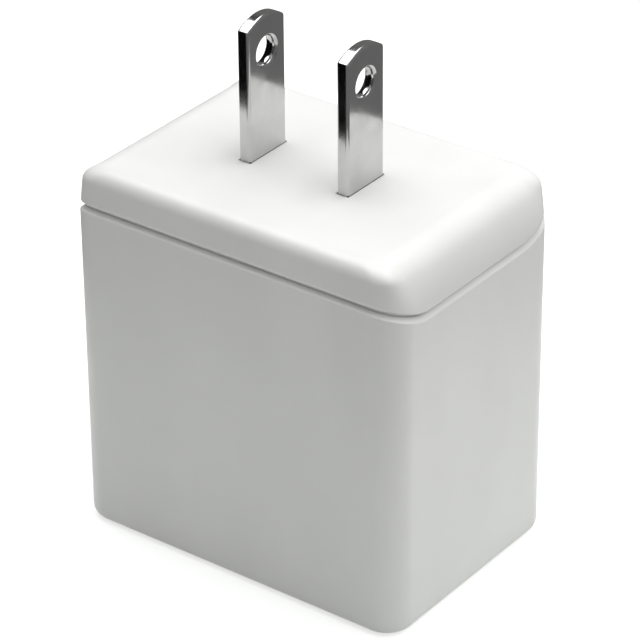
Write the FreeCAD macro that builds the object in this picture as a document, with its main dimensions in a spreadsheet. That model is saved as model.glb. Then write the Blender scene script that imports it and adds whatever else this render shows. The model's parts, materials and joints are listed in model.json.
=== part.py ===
import FreeCAD, Part
import Sketcher
import math
import os
import re

# Wall plug power adapter standing on its output face, with the two flat plug blades up.
# X runs along the wide faces, Y from the front face to the back, Z from the base to the blades.
# The origin is the middle of the base. Lengths are in millimetres.

SIZES = {
    # case
    "case_width": 42.5,
    "case_depth": 29.1,
    "corner_radius": 3.3,
    "case_wall": 2.0,
    "base_wall": 2.0,
    "base_edge_radius": 1.3,
    "rim_chamfer": 0.6,
    "least_radius": 0.5,
    # parting surface: level along the long faces, lower along the short ones
    "seam_front": 39.2,
    "seam_drop": 1.95,
    "ramp_slope": 0.39,
    "ramp_bend": 6.0,
    "cut_margin": 1.0,
    # lid
    "lid_height": 4.5,
    "lid_inset": 0.03,
    "lid_draft": 3.0,
    "lid_corner_radius": 3.7,
    "lid_edge_radius": 3.0,
    "lid_wall": 2.4,
    "gap_height": 0.5,
    "gap_depth": 0.7,
    "spigot_wall": 1.3,
    "spigot_reach": 3.0,
    "fit_clearance": 0.15,
    "catch_radius": 0.5,
    "catch_length": 8.0,
    "catch_pitch": 20.0,
    "catch_level": 1.5,
    # blades
    "blade_pitch": 12.7,
    "blade_width": 6.35,
    "blade_thickness": 1.5,
    "blade_reach": 15.95,
    "tip_rise": 1.1,
    "blade_edge": 0.28,
    "hole_radius": 1.6,
    "hole_drop": 4.15,
    "hole_bevel": 0.27,
    "slot_clearance": 0.05,
    "shoulder_width": 9.2,
    "shoulder_height": 1.6,
    "tail_width": 4.0,
    "tail_length": 5.0,
    "tail_hole_radius": 0.5,
    "tail_hole_rise": 1.0,
    # blade boss under the lid and the plate that holds the shoulders against it
    "boss_width": 22.0,
    "boss_depth": 12.0,
    "boss_height": 3.1,
    "retainer_thickness": 2.0,
    "stake_radius": 1.0,
    "stake_offset": 4.2,
    "stake_head_radius": 1.7,
    "stake_head_height": 0.6,
    "shoulder_pocket_clearance": 0.15,
    # output socket in the base
    "aperture_width": 12.5,
    "aperture_height": 5.12,
    "shell_wall": 0.3,
    "shell_corner": 0.6,
    "shell_length": 12.8,
    "port_gap": 0.1,
    "port_bezel": 0.2,
    "port_lead_in": 0.5,
    "tongue_recess": 2.1,
    "tongue_width": 11.1,
    "tongue_thickness": 1.84,
    "tongue_side_gap": 0.66,
    "insulator_block": 1.8,
    "contact_width": 1.0,
    "contact_thickness": 0.2,
    "contact_setback": 0.8,
    "contact_inner": 1.0,
    "contact_outer": 3.5,
    "collar_clearance": 0.2,
    "collar_wall": 1.2,
    "collar_height": 5.0,
    "shell_leg_width": 1.6,
    # circuit boards
    "board_thickness": 1.6,
    "board_side_room": 0.85,
    "board_back_room": 1.9,
    "board_foot": 3.6,
    "board_play": 0.15,
    "rib_width": 1.4,
    "rib_grip": 0.7,
    "foot_width": 3.0,
    "output_thickness": 1.2,
    "output_side_room": 1.95,
    "output_front_room": 0.9,
    "port_standoff": 0.5,
    "tab_width": 3.0,
    "tab_spread": 20.0,
    "post_side": 2.6,
    "post_inset": 0.9,
    # transformer
    "transformer_clearance": 1.2,
    "transformer_front_gap": 0.3,
    "core_side_gap": 0.5,
    "core_top_gap": 0.6,
    "core_back": 1.6,
    "core_limb": 2.0,
    "core_leg": 3.2,
    "former_play": 0.15,
    "former_wall": 0.7,
    "flange_thickness": 0.8,
    "flange_margin": 1.73,
    "window_play": 0.1,
    "winding_margin": 0.13,
    "primary_share": 0.5556,
    "tape_thickness": 0.12,
    "core_tape_width": 4.0,
    "rail_length": 2.2,
    "rail_height": 3.0,
    "pin_radius": 0.3,
    "pin_spacing": 3.0,
    # round capacitors
    "bulk_length": 14.0,
    "bulk_edge": 1.0,
    "bulk_clearance": 1.1,
    "bulk_gap": 0.1,
    "bulk_top_gap": 0.15,
    "bulk_blade_gap": 1.8,
    "output_cap_length": 10.5,
    "output_cap_edge": 0.9,
    "output_cap_gap": 0.45,
    "output_cap_setback": 8.15,
    "supply_radius": 2.0,
    "supply_length": 7.0,
    "supply_gap": 0.4,
    "supply_rise": 3.0,
    "sleeve_wall": 0.12,
    "seal_depth": 1.2,
    "crimp_depth": 0.25,
    "lead_radius": 0.3,
    "lead_hole_play": 0.1,
    "lead_tail": 0.8,
    # other parts on the boards
    "fuse_radius": 1.6,
    "fuse_edge": 0.9,
    "choke_radius": 2.0,
    "choke_gap": 0.7,
    "choke_core_gap": 1.1,
    "axial_top_room": 0.95,
    "axial_low_room": 2.9,
    "axial_waist": 0.25,
    "axial_band": 1.6,
    "axial_lead_out": 1.4,
    "axial_lead_bend": 0.8,
    "axial_standoff": 0.6,
    "rectifier_length": 4.7,
    "rectifier_height": 3.0,
    "rectifier_depth": 2.5,
    "low_row_gap": 0.2,
    "low_row_rise": 2.7,
    "foot_thickness": 0.3,
    "foot_reach": 0.9,
    "transistor_radius": 2.1,
    "transistor_length": 4.6,
    "transistor_flat": 0.7,
    "transistor_pitch": 1.27,
    "transistor_standoff": 1.5,
    "disc_radius": 3.2,
    "disc_length": 3.0,
    "disc_bevel": 0.9,
    "disc_standoff": 0.8,
    "chip_length": 4.9,
    "chip_height": 3.9,
    "chip_depth": 1.4,
    "chip_inset": 10.4,
    "chip_level": 11.0,
    "resistor_length": 2.0,
    "resistor_height": 1.25,
    "resistor_depth": 0.5,
    "resistor_pitch": 4.0,
    "resistor_level": 10.0,
    "diode_radius": 2.5,
    "diode_length": 9.0,
    "diode_bevel": 0.4,
    "diode_front_gap": 0.4,
    "diode_standoff": 0.3,
    "joint_radius": 0.9,
    "small_joint_radius": 0.55,
    "joint_height": 0.65,
    # insulated leads from the blade tails to the main board
    "wire_radius": 0.65,
    "wire_core_radius": 0.35,
    "wire_board_x": 2.9,
    "wire_bend": 1.2,
    "wire_joint_length": 0.5,
    "wire_joint_radius": 0.9,
}

# Sizes and places that follow from the driving sizes
DERIVED = {
    "seam_side": "seam_front - seam_drop",
    "lid_top": "seam_front + lid_height",
    "case_blank": "seam_front + 2 * cut_margin",
    "cavity_width": "case_width - 2 * case_wall",
    "cavity_depth": "case_depth - 2 * case_wall",
    "cavity_radius": "max(corner_radius - case_wall; least_radius)",
    "cavity_height": "case_blank - base_wall",
    "seam_reach": "case_depth / 2 + cut_margin",
    "seam_outer": "seam_front + cut_margin * ramp_slope",
    "ramp_tilt": "atan(ramp_slope)",
    "seam_flat": "case_depth / 2 - seam_drop / ramp_slope - ramp_bend * tan(ramp_tilt / 2)",
    "cut_top": "case_blank + cut_margin",
    "lid_width": "case_width - 2 * lid_inset",
    "lid_depth": "case_depth - 2 * lid_inset",
    "lid_low": "seam_side - cut_margin",
    "lid_blank": "lid_top - lid_low",
    "lid_cut_floor": "lid_low - cut_margin",
    "gap_side": "seam_side + gap_height",
    "gap_outer": "seam_outer + gap_height",
    "land_width": "lid_width - 2 * gap_depth",
    "land_depth": "lid_depth - 2 * gap_depth",
    "land_radius": "max(lid_corner_radius - gap_depth; least_radius)",
    "ceiling": "lid_top - lid_wall",
    "land_height": "ceiling - lid_low",
    "spigot_low": "seam_side - spigot_reach",
    "spigot_height": "ceiling - spigot_low",
    "spigot_width": "cavity_width - 2 * fit_clearance",
    "spigot_depth": "cavity_depth - 2 * fit_clearance",
    "spigot_radius": "max(cavity_radius - fit_clearance; least_radius)",
    "lid_room_width": "spigot_width - 2 * spigot_wall",
    "lid_room_depth": "spigot_depth - 2 * spigot_wall",
    "catch_z": "spigot_low + catch_level",
    "boss_low": "ceiling - boss_height",
    "shoulder_low": "boss_low - shoulder_height",
    "retainer_low": "shoulder_low - retainer_thickness",
    "tail_low": "shoulder_low - tail_length",
    "tail_hole": "tail_low + tail_hole_rise",
    "blade_tip": "lid_top + blade_reach",
    "tip_corner": "blade_tip - tip_rise",
    "tip_radius": "(blade_width ^ 2 / 4 + tip_rise ^ 2) / (2 * tip_rise)",
    "blade_hole": "blade_tip - hole_drop",
    "slot_width": "blade_width + 2 * slot_clearance",
    "slot_thickness": "blade_thickness + 2 * slot_clearance",
    "port_mouth": "base_wall + port_gap",
    "shell_width": "aperture_width + 2 * shell_wall",
    "shell_height": "aperture_height + 2 * shell_wall",
    "bore_corner": "shell_corner - shell_wall",
    "mouth_width": "aperture_width + 2 * port_bezel",
    "mouth_height": "aperture_height + 2 * port_bezel",
    "mouth_corner": "bore_corner + port_bezel",
    "well_width": "shell_width + 2 * collar_clearance",
    "well_depth": "shell_height + 2 * collar_clearance",
    "collar_width": "well_width + 2 * collar_wall",
    "collar_depth": "well_depth + 2 * collar_wall",
    "port_top": "port_mouth + shell_length",
    "tongue_tip": "port_mouth + tongue_recess",
    "tongue_y": "aperture_height / 2 - tongue_side_gap - tongue_thickness / 2",
    "block_low": "port_top - insulator_block",
    "output_level": "port_top + port_standoff",
    "output_top": "output_level + output_thickness",
    "board_width": "cavity_width - 2 * board_side_room",
    "output_width": "cavity_width - 2 * output_side_room",
    "board_back": "cavity_depth / 2 - board_back_room",
    "board_front": "board_back - board_thickness",
    "board_top": "spigot_low - 2 * fit_clearance",
    "output_front": "-cavity_depth / 2 + output_front_room",
    "transformer_low": "output_top + transformer_clearance",
    "transformer_z": "transformer_low + core_height / 2",
    "transformer_y": "board_front - flange_depth / 2",
    "transformer_x": "core_start + core_length / 2",
    "core_height": "tail_low - core_top_gap - transformer_low",
    "core_window": "core_height - 2 * core_limb",
    "former_inner_z": "core_leg + 2 * former_play",
    "core_stack": "flange_depth - 2 * (former_play + former_wall + winding_build + flange_margin)",
    "winding_build": "(flange_height - former_outer_z) / 2 - winding_margin",
    "primary_build": "(winding_build - tape_thickness) * primary_share",
    "wire_build": "winding_build - tape_thickness",
    "former_inner_y": "core_stack + 2 * former_play",
    "former_outer_z": "former_inner_z + 2 * former_wall",
    "former_outer_y": "former_inner_y + 2 * former_wall",
    "former_length": "core_length - 2 * core_back - 2 * window_play",
    "flange_height": "core_window - 2 * window_play",
    "bulk_floor": "output_top + bulk_clearance",
    "bulk_room_z": "board_top - bulk_top_gap - bulk_gap - bulk_floor",
    "blade_room_x": "(blade_pitch + blade_thickness) / 2 + wire_joint_length + bulk_blade_gap",
    "bulk_radius": "min(bulk_room_z / 4; (board_width / 2 - bulk_edge - blade_room_x) / 2)",
    "bulk_low": "bulk_floor + bulk_radius",
    "bulk_pitch": "2 * bulk_radius + bulk_gap",
    "low_row": "output_top + low_row_rise",
    "axial_top": "board_top - axial_top_room",
    "axial_low": "low_row + axial_low_room",
    "axial_level": "(axial_low + axial_top) / 2",
    "axial_length": "axial_top - axial_low - 2 * axial_lead_out",
    "axial_waist_start": "axial_band + axial_waist",
    "axial_waist_end": "axial_length - axial_band - axial_waist",
    "axial_far_band": "axial_length - axial_band",
    "diode_z": "output_top + diode_standoff + diode_radius",
    "diode_y": "output_front + diode_front_gap + diode_radius",
    "flange_depth": "board_front - diode_y - diode_radius - transformer_front_gap",
    "crimp_top": "seal_depth + 2 * crimp_depth",
    "disc_y": "board_front - disc_standoff - disc_radius",
    "disc_z": "output_top + disc_standoff + disc_radius",
    "rail_x": "former_length / 2 + rail_length / 2 - flange_thickness",
    "bulk_x": "bulk_edge + bulk_radius - board_width / 2",
    "output_cap_room": "output_width / 2 - output_cap_edge - collar_width / 2 - output_cap_gap",
    "output_cap_radius": "output_cap_room / 2",
    "output_cap_x": "output_width / 2 - output_cap_edge - output_cap_radius",
    "output_cap_y": "output_front + output_cap_setback",
    "supply_x": "bulk_x + bulk_radius + supply_gap + supply_radius",
    "disc_x": "supply_x",
    "chip_x": "chip_inset - board_width / 2",
    "fuse_x": "board_width / 2 - fuse_edge - fuse_radius",
    "choke_x": "fuse_x - fuse_radius - choke_gap - choke_radius",
    "core_start": "supply_x + supply_radius + core_side_gap",
    "core_length": "choke_x - choke_radius - choke_core_gap - core_start",
    "rectifier_x": "transformer_x + rail_x + (rail_length + rectifier_length) / 2 + low_row_gap",
    "transistor_x": "rectifier_x + rectifier_length / 2 + low_row_gap + transistor_radius",
    "supply_z": "transformer_z + supply_rise",
    "contact_y": "tongue_y - (tongue_thickness + contact_thickness) / 2",
    "fuse_y": "board_front - axial_standoff - fuse_radius",
    "choke_y": "board_front - axial_standoff - choke_radius",
    "transistor_y": "board_front - transistor_standoff",
}
for kind in ("bulk", "output_cap", "supply"):
    DERIVED[kind + "_inner"] = kind + "_radius - sleeve_wall"
    DERIVED[kind + "_neck"] = kind + "_inner - crimp_depth"
    DERIVED[kind + "_seal"] = kind + "_neck - crimp_depth"
    DERIVED[kind + "_crown"] = kind + "_inner - 2 * crimp_depth"
    DERIVED[kind + "_sleeve_top"] = kind + "_length - 3 * crimp_depth"
for kind in ("fuse", "choke"):
    DERIVED[kind + "_waist"] = kind + "_radius - axial_waist"
for kind in ("diode", "disc"):
    DERIVED[kind + "_face"] = f"{kind}_radius - {kind}_bevel"
    DERIVED[kind + "_far_side"] = f"{kind}_length - {kind}_bevel"

X, Y, Z = FreeCAD.Vector(1, 0, 0), FreeCAD.Vector(0, 1, 0), FreeCAD.Vector(0, 0, 1)
TURNS = {
    "x": FreeCAD.Rotation(Z, X),
    "y": FreeCAD.Rotation(Z, Y),
    "z": FreeCAD.Rotation(),
    "-z": FreeCAD.Rotation(X, 180),
    "-y": FreeCAD.Rotation(Z, -1 * Y),
}

doc = FreeCAD.newDocument("power_adapter")
sheet = doc.addObject("Spreadsheet::Sheet", "Sizes")
NODES = []


def fill_sheet():
    """Writes the driving sizes as plain numbers and the rest as formulas of them."""
    cells = [(name, str(size)) for name, size in SIZES.items()]
    cells += [(name, "=" + text) for name, text in DERIVED.items()]
    for row, (name, text) in enumerate(cells, 1):
        sheet.set(f"A{row}", name)
        sheet.set(f"B{row}", text)
        sheet.setAlias(f"B{row}", name)
    doc.recompute()


def value(name):
    """The number that a named size has in the sheet."""
    return float(getattr(sheet.get(name), "Value", sheet.get(name)))


def formula(text):
    """An expression with each size name pointed at its cell."""
    known = lambda match: "Sizes." + match[0] if match[0] in SIZES or match[0] in DERIVED else match[0]
    return re.sub(r"[a-z_]+", known, str(text))


def bind(item, **sizes):
    for key, text in sizes.items():
        item.setExpression(key, formula(text))
    return item


def place(item, x, y, z, turn="z"):
    """Puts an object's own origin at a place given by expressions."""
    item.Placement = FreeCAD.Placement(FreeCAD.Vector(), TURNS[turn])
    for axis, text in zip("xyz", (x, y, z)):
        item.setExpression(f"Placement.Base.{axis}", formula(text))
    return item


def node(item, label):
    """Marks an object as one sub-part and names it."""
    item.Label = label
    NODES.append(item)
    return item


def box(name, length, width, height, x, y, z):
    """A block centred on x and y that stands on the level z."""
    item = bind(doc.addObject("Part::Box", name), Length=length, Width=width, Height=height)
    return place(item, f"{x} - ({length}) / 2", f"{y} - ({width}) / 2", z)


def rod(name, radius, length, x, y, z, turn="z"):
    """A cylinder that starts at a place and runs along an axis."""
    item = bind(doc.addObject("Part::Cylinder", name), Radius=radius, Height=length)
    return place(item, x, y, z, turn)


def join(name, parts):
    item = doc.addObject("Part::MultiFuse", name)
    item.Shapes = parts
    return item


def cut(name, base, tools):
    item = doc.addObject("Part::Cut", name)
    item.Base = base
    item.Tool = tools[0] if len(tools) == 1 else join(name + "_tools", tools)
    return item


def gather(name, items):
    """Like pieces that share one sub-part as separate solids."""
    item = doc.addObject("Part::Compound", name + "_group")
    item.Links = items
    return node(item, name)


def shapes(name, solids):
    """Like shapes that share one sub-part, such as leads, as separate solids."""
    item = doc.addObject("Part::Feature", name + "_shapes")
    item.Shape = Part.makeCompound(solids) if len(solids) > 1 else solids[0]
    return node(item, name)


# Sketches and features of the moulded and stamped parts


def new_body(name):
    return doc.addObject("PartDesign::Body", name)


def sketch_on(body, name, role, level=None):
    """A sketch on one of the body's own origin planes, at a level along its normal."""
    sketch = body.newObject("Sketcher::SketchObject", name)
    plane = next(item for item in body.Origin.OriginFeatures if item.Role == role)
    sketch.AttachmentSupport = [(plane, "")]
    sketch.MapMode = "FlatFace"
    if level:
        sketch.setExpression("AttachmentOffset.Base.z", formula(level))
    return sketch


def dimension(sketch, name, *reference):
    """A driving dimension tied to one size in the sheet."""
    index = sketch.addConstraint(Sketcher.Constraint(*reference, value(name)))
    sketch.setExpression(f"Constraints[{index}]", formula(name))


def line(start, end):
    return Part.LineSegment(FreeCAD.Vector(*start, 0), FreeCAD.Vector(*end, 0))


def arc(centre, radius, start, end):
    """An arc from one angle to another in degrees, anticlockwise."""
    circle = Part.Circle(FreeCAD.Vector(*centre, 0), Z, radius)
    return Part.ArcOfCircle(circle, math.radians(start), math.radians(end))


def closed_chain(sketch, points):
    """Straight lines from each point to the next and back to the first, joined end to end."""
    count = len(points)
    for index in range(count):
        sketch.addGeometry(line(points[index], points[(index + 1) % count]), False)
    for index in range(count):
        sketch.addConstraint(Sketcher.Constraint("Coincident", index, 2, (index + 1) % count, 1))


def rounded_outline(body, name, level, width, depth, radius):
    """A centred rectangle with round corners, seen from above."""
    sketch = sketch_on(body, name, "XY_Plane", level)
    a, b, r = value(width) / 2, value(depth) / 2, value(radius)
    sketch.addGeometry([
        line((-a + r, -b), (a - r, -b)),
        arc((a - r, -b + r), r, -90, 0),
        line((a, -b + r), (a, b - r)),
        arc((a - r, b - r), r, 0, 90),
        line((a - r, b), (-a + r, b)),
        arc((-a + r, b - r), r, 90, 180),
        line((-a, b - r), (-a, -b + r)),
        arc((-a + r, -b + r), r, 180, 270),
    ], False)
    for index in range(8):
        sketch.addConstraint(Sketcher.Constraint("Tangent", index, 2, (index + 1) % 8, 1))
    for index in (3, 5, 7):
        sketch.addConstraint(Sketcher.Constraint("Equal", 1, index))
    sketch.addConstraint(Sketcher.Constraint("Symmetric", 0, 1, 0, 2, -2))
    sketch.addConstraint(Sketcher.Constraint("Symmetric", 2, 1, 2, 2, -1))
    sketch.addConstraint(Sketcher.Constraint("Horizontal", 4))
    sketch.addConstraint(Sketcher.Constraint("Vertical", 6))
    dimension(sketch, width, "DistanceX", 6, 1, 2, 1)
    dimension(sketch, depth, "DistanceY", 0, 1, 4, 1)
    dimension(sketch, radius, "Radius", 1)
    return sketch


def seam_outline(body, name, far, side, outer):
    """The parting line seen from the side, closed at the level far: level in the middle,
    then a bend, then a ramp that climbs to the long faces."""
    sketch = sketch_on(body, name, "YZ_Plane")
    flat, bend, tilt = value("seam_flat"), value("ramp_bend"), value("ramp_tilt")
    reach, low, high, back = value("seam_reach"), value(side), value(outer), value(far)
    run = flat + bend * math.sin(math.radians(tilt))
    rise = low + bend * (1 - math.cos(math.radians(tilt)))
    sketch.addGeometry([
        line((-reach, back), (reach, back)),
        line((reach, back), (reach, high)),
        line((reach, high), (run, rise)),
        arc((flat, low + bend), bend, -90, -90 + tilt),
        line((flat, low), (-flat, low)),
        arc((-flat, low + bend), bend, -90 - tilt, -90),
        line((-run, rise), (-reach, high)),
        line((-reach, high), (-reach, back)),
    ], False)
    for first, second in ((0, 1), (1, 2), (6, 7), (7, 0)):
        sketch.addConstraint(Sketcher.Constraint("Coincident", first, 2, second, 1))
    for first, end, second, start in ((2, 2, 3, 2), (3, 1, 4, 1), (4, 2, 5, 2), (5, 1, 6, 1)):
        sketch.addConstraint(Sketcher.Constraint("Tangent", first, end, second, start))
    sketch.addConstraint(Sketcher.Constraint("Vertical", 1))
    sketch.addConstraint(Sketcher.Constraint("Vertical", 7))
    sketch.addConstraint(Sketcher.Constraint("Symmetric", 0, 1, 0, 2, -2))
    sketch.addConstraint(Sketcher.Constraint("Symmetric", 4, 1, 4, 2, -2))
    sketch.addConstraint(Sketcher.Constraint("Equal", 3, 5))
    sketch.addConstraint(Sketcher.Constraint("Horizontal", 1, 2, 6, 2))
    dimension(sketch, "seam_reach", "DistanceX", -1, 1, 0, 2)
    dimension(sketch, far, "DistanceY", -1, 1, 0, 1)
    dimension(sketch, side, "DistanceY", -1, 1, 4, 1)
    dimension(sketch, outer, "DistanceY", -1, 1, 1, 2)
    dimension(sketch, "ramp_bend", "Radius", 3)
    dimension(sketch, "seam_flat", "DistanceX", -1, 1, 4, 1)
    return sketch


def rectangle(body, name, role, level, length, height, x="", y=""):
    """A rectangle centred on a point of its plane, given as named sizes."""
    sketch = sketch_on(body, name, role, level)
    a, b = value(length) / 2, value(height) / 2
    cx, cy = (value(x) if x else 0), (value(y) if y else 0)
    corners = [(cx - a, cy - b), (cx + a, cy - b), (cx + a, cy + b), (cx - a, cy + b)]
    closed_chain(sketch, corners)
    for index in (0, 2):
        sketch.addConstraint(Sketcher.Constraint("Horizontal", index))
        sketch.addConstraint(Sketcher.Constraint("Vertical", index + 1))
    sketch.addGeometry(Part.Point(FreeCAD.Vector(cx, cy, 0)), True)
    sketch.addConstraint(Sketcher.Constraint("Symmetric", 0, 1, 1, 2, 4, 1))
    for axis, place_name in (("X", x), ("Y", y)):
        if place_name:
            dimension(sketch, place_name, "Distance" + axis, -1, 1, 4, 1)
        else:
            kind = "Vertical" if axis == "X" else "Horizontal"
            sketch.addConstraint(Sketcher.Constraint(kind, -1, 1, 4, 1))
    dimension(sketch, length, "DistanceX", 0, 1, 0, 2)
    dimension(sketch, height, "DistanceY", 1, 1, 1, 2)
    return sketch


def feature(body, kind, sketch, length=None, symmetric=False, reverse=False):
    """A pad or a pocket of a sketch: through everything where no length is given."""
    item = body.newObject("PartDesign::" + kind, f"{sketch.Name}_{kind.lower()}")
    item.Profile = sketch
    item.SideType = "Symmetric" if symmetric else "One side"
    item.Reversed = reverse
    if length:
        bind(item, Length=length)
    else:
        item.Type = "ThroughAll"
    doc.recompute()
    return item


def edge_treatment(body, kind, name, size, wanted):
    """A fillet or chamfer on those edges of the tip whose middle point passes a test."""
    base = body.Tip
    names = []
    for index, edge in enumerate(base.Shape.Edges, 1):
        middle = edge.valueAt((edge.FirstParameter + edge.LastParameter) / 2)
        if wanted(middle, edge):
            names.append(f"Edge{index}")
    item = body.newObject("PartDesign::" + kind, name)
    item.Base = (base, names)
    bind(item, **{"Radius" if kind == "Fillet" else "Size": size})
    doc.recompute()
    return item


def turned_body(name, profile):
    """A solid of revolution about its own Z, from pairs of named radius and height."""
    body = new_body(name + "_turning")
    sketch = sketch_on(body, name + "_profile", "XZ_Plane")
    closed_chain(sketch, [[value(size) if size else 0 for size in point] for point in profile])
    for index, (radius, height) in enumerate(profile):
        for way, size, axis in (("DistanceX", radius, -2), ("DistanceY", height, -1)):
            if size:
                dimension(sketch, size, way, -1, 1, index, 1)
            else:
                sketch.addConstraint(Sketcher.Constraint("PointOnObject", index, 1, axis))
    item = body.newObject("PartDesign::Revolution", name + "_revolution")
    item.Profile = sketch
    item.ReferenceAxis = (sketch, ["V_Axis"])
    item.Angle = 360
    return body


NEAR = 0.01


def at_level(name):
    return lambda middle, edge: all(abs(v.Z - value(name)) < NEAR for v in edge.Vertexes) \
        and abs(middle.z - value(name)) < NEAR


def on_case_rim(middle, edge):
    """True on the outer edge of the case's open end."""
    a = abs(middle.x) - (value("case_width") / 2 - value("corner_radius"))
    b = abs(middle.y) - (value("case_depth") / 2 - value("corner_radius"))
    out = math.hypot(a, b) if a > 0 and b > 0 else max(a, b)
    return abs(out - value("corner_radius")) < NEAR and middle.z > value("seam_side") - NEAR


def case():
    """Deep moulded shell: rounded box, cavity, waved rim, socket opening and inner ribs."""
    body = new_body("case_shell")
    outline = rounded_outline(body, "case_outline", None, "case_width", "case_depth", "corner_radius")
    feature(body, "Pad", outline, "case_blank")
    edge_treatment(body, "Fillet", "base_rounding", "base_edge_radius",
                   lambda middle, edge: abs(middle.z) < NEAR)
    cavity = rounded_outline(body, "cavity_outline", "case_blank", "cavity_width", "cavity_depth",
                             "cavity_radius")
    feature(body, "Pocket", cavity, "cavity_height")
    seam = seam_outline(body, "case_seam", "cut_top", "seam_side", "seam_outer")
    feature(body, "Pocket", seam, symmetric=True)
    edge_treatment(body, "Chamfer", "rim_bevel", "rim_chamfer", on_case_rim)
    collar = rectangle(body, "collar_outline", "XY_Plane", "base_wall", "collar_width", "collar_depth")
    feature(body, "Pad", collar, "collar_height")
    well = rectangle(body, "well_outline", "XY_Plane", "base_wall", "well_width", "well_depth")
    feature(body, "Pocket", well, "collar_height", reverse=True)
    mouth = rounded_outline(body, "mouth_outline", None, "mouth_width", "mouth_height", "mouth_corner")
    feature(body, "Pocket", mouth, "base_wall", reverse=True)
    edge_treatment(body, "Chamfer", "mouth_bevel", "port_lead_in",
                   lambda middle, edge: abs(middle.z) < NEAR
                   and abs(middle.x) < value("mouth_width") / 2 + NEAR
                   and abs(middle.y) < value("mouth_height") / 2 + NEAR)
    added = []
    for side, sign in (("left", "-1"), ("right", "1")):
        added.append(box(f"{side}_post", "post_side", "post_side", "output_level - base_wall / 2",
                         f"{sign} * (output_width / 2 - post_inset)",
                         "output_front + post_inset + post_side / 2", "base_wall / 2"))
        added.append(box(f"{side}_foot", "foot_width", "board_thickness + 2 * board_play",
                         "board_foot - base_wall / 2", f"{sign} * (board_width / 2 - foot_width)",
                         "(board_front + board_back) / 2", "base_wall / 2"))
        reach = "(case_wall / 2 + (cavity_width - board_width) / 2 + rib_grip)"
        for row, y in (("front", "board_front - board_play - rib_width / 2"),
                       ("back", "board_back + board_play + rib_width / 2")):
            added.append(box(f"{side}_{row}_rib", reach, "rib_width",
                             "board_top - base_wall / 2",
                             f"{sign} * (cavity_width / 2 + case_wall / 2 - {reach} / 2)",
                             y, "base_wall / 2"))
    grooves = catches("case_catch", "catch_radius + fit_clearance")
    node(cut("case_cut", join("case_joined", [body] + added), grooves), "case")


def catches(name, radius):
    """Round snap beads along the long faces, at the lid's spigot."""
    beads = []
    for row, side in (("front", "-1"), ("back", "1")):
        for end, sign in (("left", "-1"), ("right", "1")):
            beads.append(rod(f"{name}_{row}_{end}", radius, "catch_length",
                             f"{sign} * catch_pitch / 2 - catch_length / 2",
                             f"{side} * spigot_depth / 2", "catch_z", "x"))
    return beads


def blade_cap():
    """Shallow moulded lid: soft top edge, shadow gap, seat on the rim, spigot and blade boss."""
    body = new_body("lid_shell")
    outline = rounded_outline(body, "lid_outline", "lid_low", "lid_width", "lid_depth",
                              "lid_corner_radius")
    bind(feature(body, "Pad", outline, "lid_blank"), TaperAngle="-lid_draft")
    doc.recompute()
    edge_treatment(body, "Fillet", "lid_rounding", "lid_edge_radius", at_level("lid_top"))
    gap = seam_outline(body, "lid_gap", "lid_cut_floor", "gap_side", "gap_outer")
    feature(body, "Pocket", gap, symmetric=True)
    land = rounded_outline(body, "land_outline", "lid_low", "land_width", "land_depth", "land_radius")
    feature(body, "Pad", land, "land_height")
    seat = seam_outline(body, "lid_seat", "lid_cut_floor", "seam_side", "seam_outer")
    feature(body, "Pocket", seat, symmetric=True)
    spigot = rounded_outline(body, "spigot_outline", "spigot_low", "spigot_width", "spigot_depth",
                             "spigot_radius")
    feature(body, "Pad", spigot, "spigot_height")
    room = rounded_outline(body, "lid_room", "spigot_low", "lid_room_width", "lid_room_depth",
                           "least_radius")
    feature(body, "Pocket", room, "spigot_height", reverse=True)
    boss = rectangle(body, "boss_outline", "XY_Plane", "boss_low", "boss_width", "boss_depth")
    feature(body, "Pad", boss, "boss_height")
    added = catches("lid_catch", "catch_radius")
    slots = []
    for side, sign in (("left", "-1"), ("right", "1")):
        slots.append(box(f"{side}_slot", "slot_thickness", "slot_width",
                         "lid_top - boss_low + 2 * lid_wall", f"{sign} * blade_pitch / 2", "0",
                         "boss_low - lid_wall"))
    for row, sign in (("front", "-1"), ("back", "1")):
        added.append(rod(f"{row}_stake", "stake_radius",
                         "boss_low + boss_height / 2 - retainer_low",
                         "0", f"{sign} * stake_offset", "retainer_low"))
        added.append(rod(f"{row}_stake_head", "stake_head_radius", "stake_head_height",
                         "0", f"{sign} * stake_offset", "retainer_low - stake_head_height"))
    node(cut("lid_cut", join("lid_joined", [body] + added), slots), "blade_cap")


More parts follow.
